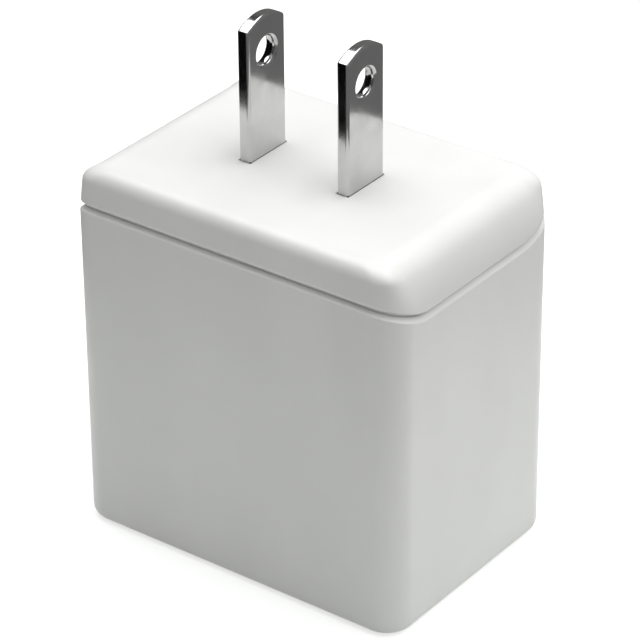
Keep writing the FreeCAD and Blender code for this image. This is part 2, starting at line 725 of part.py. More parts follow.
def blade(name, sign):
    """Stamped flat blade: arched tip over a bevelled hole, shoulders, and a solder tail."""
    body = new_body(name + "_stamping")
    sketch = sketch_on(body, name + "_profile", "YZ_Plane")
    half, wide, tail = (value(key) / 2 for key in ("blade_width", "shoulder_width", "tail_width"))
    top, low, end = value("boss_low"), value("shoulder_low"), value("tail_low")
    corner, radius = value("tip_corner"), value("tip_radius")
    right = [(tail, end), (tail, low), (wide, low), (wide, top), (half, top), (half, corner)]
    points = right + [(-y, z) for y, z in reversed(right)]
    count, tip = len(points), len(right) - 1
    spread = math.degrees(math.asin(half / radius))
    for index, (start, stop) in enumerate(zip(points, points[1:] + points[:1])):
        arched = arc((0, value("blade_tip") - radius), radius, 90 - spread, 90 + spread)
        sketch.addGeometry(arched if index == tip else line(start, stop), False)
    for index in range(count):
        sketch.addConstraint(Sketcher.Constraint("Coincident", index, 2, (index + 1) % count, 1))
    for index in (0, 2, 4):
        sketch.addConstraint(Sketcher.Constraint("Vertical", index))
    for index in (1, 3):
        sketch.addConstraint(Sketcher.Constraint("Horizontal", index))
    for index in range(len(right)):
        sketch.addConstraint(Sketcher.Constraint("Symmetric", index, 1, count - 1 - index, 1, -2))
    for size, index in (("tail_width", 0), ("shoulder_width", 2), ("blade_width", 4)):
        dimension(sketch, size, "DistanceX", count - 1 - index, 1, index, 1)
    for size, index in (("tail_low", 0), ("shoulder_low", 1), ("boss_low", 3), ("tip_corner", tip)):
        dimension(sketch, size, "DistanceY", -1, 1, index, 1)
    dimension(sketch, "tip_radius", "Radius", tip)
    feature(body, "Pad", sketch, "blade_thickness", symmetric=True)
    holes = sketch_on(body, name + "_holes", "YZ_Plane")
    for index, (height, radius) in enumerate((("blade_hole", "hole_radius"),
                                              ("tail_hole", "tail_hole_radius"))):
        circle = Part.Circle(FreeCAD.Vector(0, value(height), 0), Z, value(radius))
        holes.addGeometry(circle, False)
        holes.addConstraint(Sketcher.Constraint("PointOnObject", index, 3, -2))
        dimension(holes, height, "DistanceY", -1, 1, index, 3)
        dimension(holes, radius, "Radius", index)
    feature(body, "Pocket", holes, symmetric=True)
    face = value("blade_thickness") / 2

    def hole_rim(middle, edge):
        return abs(abs(middle.x) - face) < NEAR and middle.z > value("ceiling") \
            and abs(getattr(edge.Curve, "Radius", 0) - value("hole_radius")) < NEAR

    def outer_edge(middle, edge):
        return abs(abs(middle.x) - face) < NEAR and middle.z > value("ceiling") \
            and not hole_rim(middle, edge)

    edge_treatment(body, "Chamfer", name + "_hole_bevel", "hole_bevel", hole_rim)
    edge_treatment(body, "Chamfer", name + "_edge_bevel", "blade_edge", outer_edge)
    body.setExpression("Placement.Base.x", formula(f"{sign} * blade_pitch / 2"))
    node(body, name)


def blade_retainer():
    """Plate staked under the boss, with slots for the tails and pockets for the shoulders."""
    plate = box("retainer_plate", "boss_width", "boss_depth", "boss_low - retainer_low",
                "0", "0", "retainer_low")
    tools = []
    for side, sign in (("left", "-1"), ("right", "1")):
        tools.append(box(f"{side}_tail_slot", "slot_thickness", "tail_width + 2 * slot_clearance",
                         "2 * retainer_thickness", f"{sign} * blade_pitch / 2", "0",
                         "retainer_low - retainer_thickness / 2"))
        tools.append(box(f"{side}_shoulder_pocket", "slot_thickness",
                         "shoulder_width + 2 * shoulder_pocket_clearance",
                         "2 * shoulder_height", f"{sign} * blade_pitch / 2", "0", "shoulder_low"))
    for row, sign in (("front", "-1"), ("back", "1")):
        tools.append(rod(f"{row}_stake_hole", "stake_radius + slot_clearance",
                         "4 * retainer_thickness", "0", f"{sign} * stake_offset",
                         "retainer_low - retainer_thickness"))
    node(cut("retainer_cut", plate, tools), "blade_retainer")


# Socket in the base


CONTACTS = ("-contact_outer", "-contact_inner", "contact_inner", "contact_outer")


def port():
    """Drawn metal shell with two legs, insulator with its tongue, and four contacts."""
    tube = new_body("shell_tube")
    outer = rounded_outline(tube, "shell_outline", "port_mouth", "shell_width", "shell_height",
                            "shell_corner")
    feature(tube, "Pad", outer, "shell_length")
    bore = rounded_outline(tube, "shell_bore", "port_mouth", "aperture_width", "aperture_height",
                           "bore_corner")
    feature(tube, "Pocket", bore, "shell_length", reverse=True)
    legs, windows = [], []
    for side, sign in (("left", "-1"), ("right", "1")):
        legs.append(box(f"{side}_shell_leg", "shell_wall", "shell_leg_width",
                        "output_top + lead_tail - port_top + shell_wall",
                        f"{sign} * (shell_width - shell_wall) / 2", "0", "port_top - shell_wall"))
        for face, row in (("front", "-1"), ("back", "1")):
            windows.append(box(f"{side}_{face}_window", "shell_width / 6", "4 * shell_wall",
                               "shell_length / 4", f"{sign} * shell_width / 4",
                               f"{row} * shell_height / 2", "port_mouth + shell_length / 4"))
    node(cut("shell_cut", join("shell_joined", [tube] + legs), windows), "port_shell")
    tongue = box("tongue", "tongue_width", "tongue_thickness", "port_top - shell_wall - tongue_tip",
                 "0", "tongue_y", "tongue_tip")
    block = new_body("insulator_back")
    section = rounded_outline(block, "insulator_section", "block_low", "aperture_width",
                              "aperture_height", "bore_corner")
    feature(block, "Pad", section, "insulator_block")
    ways, contacts = [], []
    for index, x in enumerate(CONTACTS):
        ways.append(box(f"contact_way_{index}", "contact_width", "contact_thickness",
                        "2 * insulator_block", x, "contact_y", "block_low - insulator_block / 2"))
        contacts.append(box(f"contact_{index}", "contact_width", "contact_thickness",
                            "output_top + lead_tail - tongue_tip - contact_setback", x,
                            "contact_y", "tongue_tip + contact_setback"))
    node(cut("insulator_cut", join("insulator_joined", [tongue, block]), ways), "port_insulator")
    gather("port_contacts", contacts)


# Round parts, each turned from its profile and then stood in its place


def capacitor(kind, mark, x, y, z, turn):
    """Can with its crimped neck, sleeve and rubber seal, all standing on the seal."""
    inner, neck, seal, crown = (f"{kind}_{size}" for size in ("inner", "neck", "seal", "crown"))
    end, sleeve_end, outer = f"{kind}_length", f"{kind}_sleeve_top", f"{kind}_radius"
    profiles = {
        "can": [("", "seal_depth"), (seal, "seal_depth"), (seal, "crimp_depth"),
                (neck, "crimp_depth"), (neck, "seal_depth"), (inner, "crimp_top"),
                (inner, sleeve_end), (crown, end), ("", end)],
        "sleeve": [(inner, "crimp_top"), (outer, "crimp_top"), (outer, sleeve_end),
                   (inner, sleeve_end)],
        "seal": [("", ""), (seal, ""), (seal, "seal_depth"), ("", "seal_depth")],
    }
    return {piece: place(turned_body(f"{kind}_{piece}_{mark}", profile), x, y, z, turn)
            for piece, profile in profiles.items()}


def capacitors():
    """Two mains capacitors, two output capacitors and the small supply capacitor."""
    bulk = [capacitor("bulk", index, "bulk_x", "board_front", f"bulk_low + {index} * bulk_pitch", "-y")
            for index in range(2)]
    output = [capacitor("output_cap", index, f"{sign} * output_cap_x", "output_cap_y",
                        "output_level", "-z") for index, sign in enumerate((-1, 1))]
    supply = capacitor("supply", 0, "supply_x", "board_front", "supply_z", "-y")
    for piece in ("can", "sleeve", "seal"):
        gather(f"bulk_capacitor_{piece}s", [made[piece] for made in bulk])
        gather(f"output_capacitor_{piece}s", [made[piece] for made in output])
        node(supply[piece], f"supply_capacitor_{piece}")


def axial_parts():
    """Fusible resistor and choke, thicker at their end caps, and the output diode."""
    for name, kind in (("fusible_resistor", "fuse"), ("input_inductor", "choke")):
        radius, waist = f"{kind}_radius", f"{kind}_waist"
        body = turned_body(name, [("", ""), (radius, ""), (radius, "axial_band"),
                                  (waist, "axial_waist_start"), (waist, "axial_waist_end"),
                                  (radius, "axial_far_band"), (radius, "axial_length"),
                                  ("", "axial_length")])
        place(body, f"{kind}_x", f"{kind}_y", "axial_level - axial_length / 2")
        node(body, name)
    node(place(drum("output_diode", "diode"), "-diode_length / 2", "diode_y", "diode_z", "x"),
         "output_diode")
    node(place(drum("bridging_capacitor", "disc"), "disc_x - disc_length / 2", "disc_y", "disc_z",
               "x"), "bridging_capacitor")


def drum(name, kind):
    """A round body with bevelled ends."""
    return turned_body(name, [("", ""), (f"{kind}_face", ""), (f"{kind}_radius", f"{kind}_bevel"),
                              (f"{kind}_radius", f"{kind}_far_side"),
                              (f"{kind}_face", f"{kind}_length"), ("", f"{kind}_length")])


def transistor():
    """Round plastic case with one flat side."""
    body = rod("transistor_round", "transistor_radius", "transistor_length", "transistor_x",
               "transistor_y", "low_row", "-y")
    flat = box("transistor_flat_cut", "2 * transistor_radius", "3 * transistor_length",
               "transistor_radius", "transistor_x", "transistor_y",
               "low_row + transistor_radius - transistor_flat")
    node(cut("transistor_cut", body, [flat]), "switch_transistor")


# Leads, the solder round them, and the boards with their holes


def vector(*point):
    return FreeCAD.Vector(*point)


def bent_rod(points, radius, bend):
    """A round rod along straight runs joined by tangent arcs."""
    edges, start = [], points[0]
    for before, corner, after in zip(points, points[1:], points[2:]):
        back, on = (before - corner).normalize(), (after - corner).normalize()
        half = (math.pi - back.getAngle(on)) / 2
        setback = bend * math.tan(half)
        first, last = corner + back * setback, corner + on * setback
        middle = corner + (back + on).normalize() * (bend / math.cos(half) - bend)
        edges.append(Part.LineSegment(start, first).toShape())
        edges.append(Part.Arc(first, middle, last).toShape())
        start = last
    edges.append(Part.LineSegment(start, points[-1]).toShape())
    ring = Part.Wire([Part.Edge(Part.Circle(points[0], points[1] - points[0], radius))])
    return Part.Wire(edges).makePipeShell([ring], True, False)


def sizes_now():
    return {name: value(name) for name in list(SIZES) + list(DERIVED)}


def straight_leads(s):
    """Places of the leads that go straight into the main board: x, z, start, radius, joint."""
    front, lead, joint = s["board_front"], s["lead_radius"], s["joint_radius"]
    places = []
    for index in range(2):
        for sign in (-1, 1):
            z = s["bulk_low"] + index * s["bulk_pitch"] + sign * s["bulk_radius"] / 2
            places.append((s["bulk_x"], z, front, lead, joint))
    for sign in (-1, 1):
        z = s["supply_z"] + sign * s["supply_radius"] / 2
        places.append((s["supply_x"], z, front, lead, joint))
        z = s["disc_z"] + sign * s["disc_radius"] * 0.6
        places.append((s["disc_x"], z, s["disc_y"], lead, joint))
        places.append((sign * s["wire_board_x"], s["tail_hole"], front, s["wire_core_radius"],
                       joint))
    for step in (-1, 0, 1):
        x = s["transistor_x"] + step * s["transistor_pitch"]
        places.append((x, s["low_row"], s["transistor_y"], lead * 0.8, s["small_joint_radius"]))
    return places


def joint_cone(s, foot, way, lead, wide):
    """A cone of solder on the far face of a board, round one lead."""
    high = s["joint_height"]
    cone = Part.makeCone(wide, lead + s["lead_hole_play"], high, foot, way)
    return cone.cut(Part.makeCylinder(lead, high, foot, way))


def leads_and_joints():
    """All bare leads and solder, then the boards with a hole for each lead."""
    s = sizes_now()
    front, back, end = s["board_front"], s["board_back"], s["board_back"] + s["lead_tail"]
    lead, wide, top = s["lead_radius"], s["joint_radius"], s["output_top"]
    disc = next(item for item in NODES if item.Label == "bridging_capacitor").Shape
    leads, joints, main_holes, output_holes = [], [], [], []

    for x, z, start, radius, joint in straight_leads(s):
        shape = Part.makeCylinder(radius, end - start, vector(x, start, z), Y)
        leads.append(shape.cut(disc) if start == s["disc_y"] else shape)
        joints.append(joint_cone(s, vector(x, back, z), Y, radius, joint))
        main_holes.append((x, z, radius))

    for kind in ("fuse", "choke"):
        x, y = s[kind + "_x"], s[kind + "_y"]
        for sign in (-1, 1):
            face = s["axial_level"] + sign * s["axial_length"] / 2
            out = face + sign * s["axial_lead_out"]
            path = [vector(x, y, face), vector(x, y, out), vector(x, end, out)]
            leads.append(bent_rod(path, lead, s["axial_lead_bend"]))
            joints.append(joint_cone(s, vector(x, back, out), Y, lead, wide))
            main_holes.append((x, out, lead))

    for sign in (-1, 1):
        for side in (-1, 1):
            x = sign * s["output_cap_x"] + side * s["output_cap_radius"] / 2
            y = s["output_cap_y"]
            leads.append(Part.makeCylinder(lead, top + s["lead_tail"] - s["output_level"],
                                           vector(x, y, s["output_level"])))
            joints.append(joint_cone(s, vector(x, y, top), Z, lead, wide))
            output_holes.append((x, y, lead))
        face, y, z = sign * s["diode_length"] / 2, s["diode_y"], s["diode_z"]
        out = face + sign * s["axial_lead_out"]
        low = s["output_level"] - s["lead_tail"]
        path = [vector(face, y, z), vector(out, y, z), vector(out, y, low)]
        leads.append(bent_rod(path, lead, s["axial_lead_bend"]))
        joints.append(joint_cone(s, vector(out, y, s["output_level"]), -1 * Z, lead, wide))
        output_holes.append((out, y, lead))

    pins = []
    for sign in (-1, 1):
        for step in (-1, 0, 1):
            x = s["transformer_x"] + sign * s["rail_x"]
            z = s["transformer_z"] + step * s["pin_spacing"]
            pins.append(Part.makeCylinder(s["pin_radius"], end - front, vector(x, front, z), Y))
            joints.append(joint_cone(s, vector(x, back, z), Y, s["pin_radius"], wide))
            main_holes.append((x, z, s["pin_radius"]))
    shapes("transformer_pins", pins)

    tail_leads, tail_joints = plug_leads(s)
    shapes("component_leads", leads + tail_leads)
    shapes("solder_joints", joints + tail_joints)
    main_board(s, main_holes)
    output_board(s, output_holes)


def plug_leads(s):
    """Insulated wires from the blade tails to the main board, soldered into the tails."""
    z, joint, core = s["tail_hole"], s["wire_joint_length"], s["wire_core_radius"]
    inner_face = (s["blade_pitch"] - s["blade_thickness"]) / 2
    leads, joints = [], []
    for name, sign in (("live_lead", -1), ("neutral_lead", 1)):
        start, end = sign * (inner_face - joint), sign * s["wire_board_x"]
        path = [vector(start, 0, z), vector(end, 0, z), vector(end, s["board_front"], z)]
        shapes(name, [bent_rod(path, s["wire_radius"], s["wire_bend"])])
        leads.append(Part.makeCylinder(core, 2 * joint + s["blade_thickness"],
                                       vector(start, 0, z), sign * X))
        for face in (inner_face - joint, inner_face + s["blade_thickness"]):
            place_on = vector(sign * face, 0, z)
            ring = Part.makeCylinder(s["wire_joint_radius"], joint, place_on, sign * X)
            joints.append(ring.cut(Part.makeCylinder(core, joint, place_on, sign * X)))
    return leads, joints


def drilled(name, solids):
    """The drill for all the round holes of one board."""
    item = doc.addObject("Part::Feature", name)
    item.Shape = Part.makeCompound(solids)
    return item


def main_board(s, holes):
    """Upright board with a hole for each lead and two slots for the output board's tabs."""
    blank = box("main_blank", "board_width", "board_thickness", "board_top - board_foot", "0",
                "(board_front + board_back) / 2", "board_foot")
    depth, play = s["board_thickness"], s["lead_hole_play"]
    drill = drilled("main_drill", [
        Part.makeCylinder(radius + play, 3 * depth, vector(x, s["board_front"] - depth, z), Y)
        for x, z, radius in holes])
    slots = [box(f"{side}_tab_slot", "tab_width + 2 * board_play", "3 * board_thickness",
                 "output_thickness + 2 * board_play", f"{sign} * tab_spread / 2",
                 "board_front + board_thickness / 2", "output_level - board_play")
             for side, sign in (("left", "-1"), ("right", "1"))]
    node(cut("main_cut", blank, [drill] + slots), "main_board")


def output_board(s, holes):
    """Level board with two tabs, lead holes, and slots for the legs of the socket shell."""
    blank = box("output_blank", "output_width", "board_front - output_front", "output_thickness",
                "0", "(board_front + output_front) / 2", "output_level")
    thick, play = s["output_thickness"], s["lead_hole_play"]
    contacts = [(sign * s[size], s["contact_y"], s["contact_width"] / 2)
                for sign in (-1, 1) for size in ("contact_inner", "contact_outer")]
    drill = drilled("output_drill", [
        Part.makeCylinder(radius + play, 3 * thick, vector(x, y, s["output_level"] - thick))
        for x, y, radius in holes + contacts])
    tabs, slots = [], []
    for side, sign in (("left", "-1"), ("right", "1")):
        tabs.append(box(f"{side}_tab", "tab_width", "2 * board_thickness", "output_thickness",
                        f"{sign} * tab_spread / 2", "board_front", "output_level"))
        slots.append(box(f"{side}_leg_slot", "3 * shell_wall", "shell_leg_width + 2 * board_play",
                         "3 * output_thickness", f"{sign} * (shell_width - shell_wall) / 2", "0",
                         "output_level - output_thickness"))
    node(cut("output_cut", join("output_joined", [blank] + tabs), [drill] + slots),
         "output_board")


def surface_parts():
    """Rectifier, controller and chip resistors, soldered flat to the main board."""
    body = box("rectifier_body", "rectifier_length", "rectifier_depth", "rectifier_height",
               "rectifier_x", "board_front - rectifier_depth / 2 - foot_thickness",
               "low_row - rectifier_height / 2")
    feet = [box(f"rectifier_foot_{index}", "foot_reach", "foot_thickness",
                "rectifier_height + 2 * foot_reach", f"rectifier_x + {sign} * rectifier_length / 4",
                "board_front - foot_thickness / 2", "low_row - rectifier_height / 2 - foot_reach")
            for index, sign in enumerate((-1, 1))]
    node(join("rectifier_joined", [body] + feet), "bridge_rectifier")
    body = box("chip_body", "chip_length", "chip_depth", "chip_height", "chip_x",
               "board_back + chip_depth / 2 + foot_thickness", "chip_level - chip_height / 2")
    feet = [box(f"chip_foot_{index}", "foot_reach / 2", "foot_thickness",
                "chip_height + 2 * foot_reach", f"chip_x + {step} * chip_length / 4",
                "board_back + foot_thickness / 2", "chip_level - chip_height / 2 - foot_reach")
            for index, step in enumerate((-1.5, -0.5, 0.5, 1.5))]
    node(join("chip_joined", [body] + feet), "controller_chip")
    gather("chip_resistors", [
        box(f"chip_resistor_{index}", "resistor_length", "resistor_depth", "resistor_height",
            f"{index - 2} * resistor_pitch", "board_front - resistor_depth / 2",
            "resistor_level - resistor_height / 2") for index in range(5)])


def transformer():
    """Former on the centre leg, two windings with tape, two core halves and a band of tape."""
    x, y, z = "transformer_x", "transformer_y", "transformer_z"

    def sleeve(name, length, inner_y, inner_z, outer_y, outer_z):
        outer = box(name + "_outer", length, outer_y, outer_z, x, y, f"{z} - ({outer_z}) / 2")
        inner = box(name + "_inner", f"2 * ({length})", inner_y, inner_z, x, y,
                    f"{z} - ({inner_z}) / 2")
        return cut(name, outer, [inner])

    tube = sleeve("former_tube", "former_length", "former_inner_y", "former_inner_z",
                  "former_outer_y", "former_outer_z")
    parts = [tube]
    for side, sign in (("left", "-1"), ("right", "1")):
        outer = box(f"{side}_flange_plate", "flange_thickness", "flange_depth", "flange_height",
                    f"{x} + {sign} * (former_length - flange_thickness) / 2", y,
                    f"{z} - flange_height / 2")
        inner = box(f"{side}_flange_way", "3 * flange_thickness", "former_inner_y",
                    "former_inner_z", f"{x} + {sign} * (former_length - flange_thickness) / 2",
                    y, f"{z} - former_inner_z / 2")
        parts.append(cut(f"{side}_flange", outer, [inner]))
        parts.append(box(f"{side}_rail", "rail_length", "rail_height", "flange_height",
                         f"{x} + {sign} * (former_length / 2 + rail_length / 2 - flange_thickness)",
                         "board_front - rail_height / 2", f"{z} - flange_height / 2"))
    node(join("bobbin_joined", parts), "transformer_bobbin")
    length = "former_length - 2 * flange_thickness"
    layers = (("primary_winding", "0", "primary_build"),
              ("secondary_winding", "primary_build", "wire_build"),
              ("winding_tape", "wire_build", "winding_build"))
    for label, inside, outside in layers:
        node(sleeve(label + "_ring", length, f"former_outer_y + 2 * ({inside})",
                    f"former_outer_z + 2 * ({inside})", f"former_outer_y + 2 * ({outside})",
                    f"former_outer_z + 2 * ({outside})"), label)
    for side, sign in (("left", "-1"), ("right", "1")):
        half = box(f"core_{side}_block", "core_length / 2", "core_stack", "core_height",
                   f"{x} + {sign} * core_length / 4", y, "transformer_low")
        windows = []
        for row, step in (("lower", "-1"), ("upper", "1")):
            windows.append(box(f"core_{side}_{row}_window", "core_length / 2", "2 * core_stack",
                               "(core_window - core_leg) / 2",
                               f"{x} + {sign} * (core_length / 4 - core_back)", y,
                               f"{z} + ({step} * (core_window + core_leg)"
                               " - core_window + core_leg) / 4"))
        node(cut(f"core_{side}_cut", half, windows), f"core_{side}")
    band_outer = box("band_outer", "core_length + 2 * tape_thickness", "core_tape_width",
                     "core_height + 2 * tape_thickness", x, y, "transformer_low - tape_thickness")
    band_inner = box("band_inner", "core_length", "2 * core_tape_width", "core_height", x, y,
                     "transformer_low")
    node(cut("band_cut", band_outer, [band_inner]), "core_tape")


def check_model():
    """Stops on any failed feature and on any sub-part that isn't a sound solid."""
    doc.recompute()
    for item in doc.Objects:
        if "Invalid" in item.State or "Error" in item.State:
            raise RuntimeError(f"{item.Label} failed: {item.State}")
    for item in NODES:
        shape = item.Shape
        if shape.isNull() or not shape.isValid() or not shape.Solids or shape.Volume <= 0:
            raise RuntimeError(f"{item.Label} is not a sound solid")


def write_parts():
    os.makedirs("parts", exist_ok=True)
    for item in NODES:
        item.Shape.exportStep(os.path.join("parts", item.Label + ".step"))


fill_sheet()
case()
blade_cap()
blade("blade_left", "-1")
blade("blade_right", "1")
blade_retainer()
port()
capacitors()
axial_parts()
transistor()
surface_parts()
transformer()
doc.recompute()
leads_and_joints()
check_model()
write_parts()
print(len(NODES), "sub-parts,", sum(len(item.Shape.Solids) for item in NODES), "solids")
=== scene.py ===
import json
import math

import bmesh
import bpy
import numpy as np
from mathutils import Matrix, Vector


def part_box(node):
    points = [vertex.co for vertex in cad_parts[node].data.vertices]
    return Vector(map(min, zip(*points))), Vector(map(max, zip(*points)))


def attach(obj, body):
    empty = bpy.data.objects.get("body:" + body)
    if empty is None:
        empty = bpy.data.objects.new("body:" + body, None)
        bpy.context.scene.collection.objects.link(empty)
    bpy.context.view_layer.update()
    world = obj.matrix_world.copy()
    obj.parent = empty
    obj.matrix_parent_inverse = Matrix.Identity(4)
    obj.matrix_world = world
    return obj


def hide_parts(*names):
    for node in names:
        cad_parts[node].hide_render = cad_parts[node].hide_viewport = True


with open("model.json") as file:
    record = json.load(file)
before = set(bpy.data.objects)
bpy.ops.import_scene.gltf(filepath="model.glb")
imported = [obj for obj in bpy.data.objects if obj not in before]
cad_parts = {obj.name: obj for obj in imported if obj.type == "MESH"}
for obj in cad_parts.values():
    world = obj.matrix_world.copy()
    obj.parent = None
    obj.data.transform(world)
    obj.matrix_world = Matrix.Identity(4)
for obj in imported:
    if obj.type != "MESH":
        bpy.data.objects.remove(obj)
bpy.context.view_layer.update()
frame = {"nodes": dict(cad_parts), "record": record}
scene = bpy.context.scene
MM = 0.001

# Wall plug power adapter, in millimetres until a mesh is made: X along the wide faces,
# Y from front to back, Z from the base up to the blades. Sizes come from the frame where it has them.


def node_box(node):
    """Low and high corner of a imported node, in millimetres."""
    low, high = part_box(node)
    return np.array(low) / MM, np.array(high) / MM


CASE_LOW, CASE_HIGH = node_box("case")
CAP_TOP = node_box("blade_cap")[1][2]
BLADE_LOW, BLADE_HIGH = node_box("blade_right")
RETAINER_LOW, RETAINER_HIGH = node_box("blade_retainer")
BOARD_LOW, BOARD_HIGH = node_box("main_board")
LEVEL_LOW, LEVEL_HIGH = node_box("output_board")

# The case. The shares of its rim's chamfer say how far in and how far down its rings lie, with
# softened ends; the rings of the wall begin at a share of its height and end just below the rim.
CASE_WIDTH, CASE_DEPTH = (CASE_HIGH - CASE_LOW)[:2]
CASE_CORNER = 3.3
CASE_WALL = 2.0
BASE_ROUND = 1.3
RIM_CHAMFER = 0.55
RIM_SHARES = ((0.0, 1.15), (0.03, 1.0), (0.12, 0.86), (0.86, 0.12), (1.0, 0.03), (1.15, 0.0))
WALL_START, WALL_END = 0.02, 1.2 * RIM_CHAMFER
FLOOR_FILLET = ((0.0, 0.3), (0.1, 0.06), (0.3, 0.0))

# The socket's mouth in the base, the well that holds the socket and the collar round the well
PORT_WIDTH, PORT_DEPTH = 12.9, 5.52
PORT_FLARE = 0.5
PORT_CORNER = 0.5
WELL_WIDTH, WELL_DEPTH, WELL_CORNER = 13.5, 6.1, 0.2
COLLAR_WIDTH, COLLAR_DEPTH, COLLAR_CORNER = 15.9, 8.5, 0.6
COLLAR_TOP = 7.0
COLLAR_EASE = 0.1

# The parting surface is level across the middle of the short faces and ramps up to the long ones
SEAM_FRONT = 39.2
SEAM_DROP = 1.95
RAMP_SLOPE = 0.39
RAMP_BEND = 6.0

# The lid's sides bow in along an arc (its radius, the height where it ends), then round over to the
# top. The short sides bow in gently and the long ones stand nearly upright; the blend is the power
# of a corner's direction that keeps the short sides' bow out of the corners.
CAP_INSET = 0.03
CAP_WIDTH, CAP_DEPTH = CASE_WIDTH - 2 * CAP_INSET, CASE_DEPTH - 2 * CAP_INSET
CAP_CORNER, CAP_TOP_CORNER = 3.4, 2.0
SIDE_START = 37.75
SHORT_SIDE = (10.0, 41.5)
LONG_SIDE = (90.0, 42.1)
SIDE_BLEND = 6
CAP_WALL = 2.4

# The shadow gap under the lid, the small round of both lips beside it, and the spigot inside
GAP_HEIGHT = 0.4
GAP_DEPTH = 0.62
GAP_EASE = 0.03
LIP_ROUND, LIP_MIDDLE = 0.16, 0.04
SPIGOT_LOW = 34.25
SPIGOT_WALL = 1.3
SPIGOT_TIP = 0.2
SPIGOT_CORNER, TIP_CORNER, INNER_CORNER, BOSS_CORNER = 1.15, 1.0, 0.5, 0.2
FIT = 0.15

# The blades; the shares say how far out and how far down the rings of a bevel or an edge lie
BLADE_THICKNESS = (BLADE_HIGH - BLADE_LOW)[0]
BLADE_X = (BLADE_HIGH + BLADE_LOW)[0] / 2
BLADE_TIP = BLADE_HIGH[2]
BLADE_END = BLADE_LOW[2]
BLADE_WIDTH = 6.35
TIP_RISE = 1.1
BLADE_EDGE = 0.28
EDGE_SHARES = ((1, 0), (0.88, 0.06), (0.06, 0.88), (0, 1))
HOLE_RADIUS = 1.6
HOLE_BEVEL = 0.27
HOLE_SHARES = ((0.15, 0.8), (0.85, 0.1), (1, 0))
HOLE_Z = BLADE_TIP - 4.15
BOSS_LOW = RETAINER_HIGH[2]
SHOULDER_LOW = BOSS_LOW - 1.6
SHOULDER_WIDTH = (BLADE_HIGH - BLADE_LOW)[1]
TAIL_WIDTH = 4.0

# Rings round a blade's slot in the lid: how far outside it, and how far below the lid's face
SLOT_GAP = 0.05
SLOT_RINGS = ((0.4, 0), (0.08, 0), (0.05, 0), (0.015, 0.015), (0, 0.05), (0, 0.2))

# Inside: snap beads of the lid and their grooves in the case, board guides and blade plate stakes
CATCH_RADIUS, CATCH_LENGTH, CATCH_PITCH, CATCH_LEVEL = 0.5, 8.0, 20.0, SPIGOT_LOW + 1.5
RIB_WIDTH, RIB_GRIP, FOOT_WIDTH, BOARD_PLAY = 1.4, 0.7, 3.0, 0.15
POST_SIDE, POST_INSET = 2.6, 0.9
STAKE_RADIUS, STAKE_Y, STAKE_ROOT = 1.0, 4.2, 1.5
STAKE_HEAD_RADIUS, STAKE_HEAD_HEIGHT, STAKE_HEAD_EASE = 1.7, 0.6, 0.15

# Ring steps: half a long side, a short side, a corner, and the line between the two blades
LONG_STEPS, SHORT_STEPS, CORNER_STEPS, MIDDLE_STEPS = 26, 44, 18, 16
# Rows: the base's round, the case's wall, a snap bead, the lid's top edge and its side
BASE_ROWS, WALL_ROWS, CATCH_ROWS, EDGE_ROWS, SIDE_ROWS = 13, 24, 11, 17, 12
# Blade steps: its tip, each side, its foot; and the steps round a stake
TIP_STEPS, BLADE_STEPS, FOOT_STEPS, STAKE_STEPS = 41, 24, 16, 32
# Distances of rings close beside an edge, which keep the shading of the flat face next to it flat
BASE_GUARDS = (0.5, 0.05)
PORT_GUARDS = (0.06, 0.5)
CAP_GUARD = 0.1
BLADE_GUARD = 0.04
# Points nearer than the first distance become one, and faces thinner than the second go
MERGE, THIN = 0.002, 0.001


def seam(y):
    """Height of the parting surface at y: level in the middle, an arc of the bend radius, then a
    straight ramp that reaches the front height at the case's long faces."""
    tilt = math.atan(RAMP_SLOPE)
    flat = CASE_DEPTH / 2 - SEAM_DROP / RAMP_SLOPE - RAMP_BEND * math.tan(tilt / 2)
    out = np.abs(y) - flat
    run = RAMP_BEND * math.sin(tilt)
    arc = RAMP_BEND - np.sqrt(RAMP_BEND ** 2 - np.clip(out, 0, run) ** 2)
    return SEAM_FRONT - SEAM_DROP + arc + RAMP_SLOPE * np.clip(out - run, 0, None)


def above_seam(rise):
    """The height, as a function of y, that lies the given distance above the parting surface."""
    return lambda y: seam(y) + rise


def towards_seam(start, rise, share):
    """The height, as a function of y, a share of the way from a level to a distance above the seam."""
    return lambda y: start + (seam(y) + rise - start) * share


def ring(width, depth, radius, height):
    """A rounded rectangle of points, anticlockwise from the middle of its front side: even steps
    along each straight side and even angles round each corner. Height is a number or f(y)."""
    a, b = width / 2, depth / 2
    turn = np.linspace(0, np.pi / 2, CORNER_STEPS, endpoint=False)
    half = np.linspace(0, a - radius, LONG_STEPS, endpoint=False)
    side = np.linspace(radius - b, b - radius, SHORT_STEPS, endpoint=False)
    front = np.stack([half, np.full_like(half, -b)])
    low_corner = np.stack([a - radius + radius * np.sin(turn), -b + radius - radius * np.cos(turn)])
    right = np.stack([np.full_like(side, a), side])
    high_corner = np.stack([a - radius + radius * np.cos(turn), b - radius + radius * np.sin(turn)])
    back = np.stack([a - radius - half, np.full_like(half, b)])
    right_half = np.concatenate([front, low_corner, right, high_corner, back], axis=1)
    points = np.concatenate([right_half, -right_half], axis=1)
    z = height(points[1]) if callable(height) else np.full(points.shape[1], height)
    return np.stack([points[0], points[1], z], axis=1)


def case_ring(inset, height):
    """A ring that lies inside the case's outline by the given distance."""
    return ring(CASE_WIDTH - 2 * inset, CASE_DEPTH - 2 * inset, CASE_CORNER - inset, height)


def grid_faces(rows, columns, close_rows, close_columns, start=0):
    """Quads between each row of points and the next, and from the last back to the first where closed."""
    v = np.arange(rows if close_rows else rows - 1)[:, None]
    u = np.arange(columns if close_columns else columns - 1)[None, :]
    v2, u2 = (v + 1) % rows, (u + 1) % columns
    quads = np.stack([v * columns + u, v * columns + u2, v2 * columns + u2, v2 * columns + u], axis=-1)
    return quads.reshape(-1, 4) + start


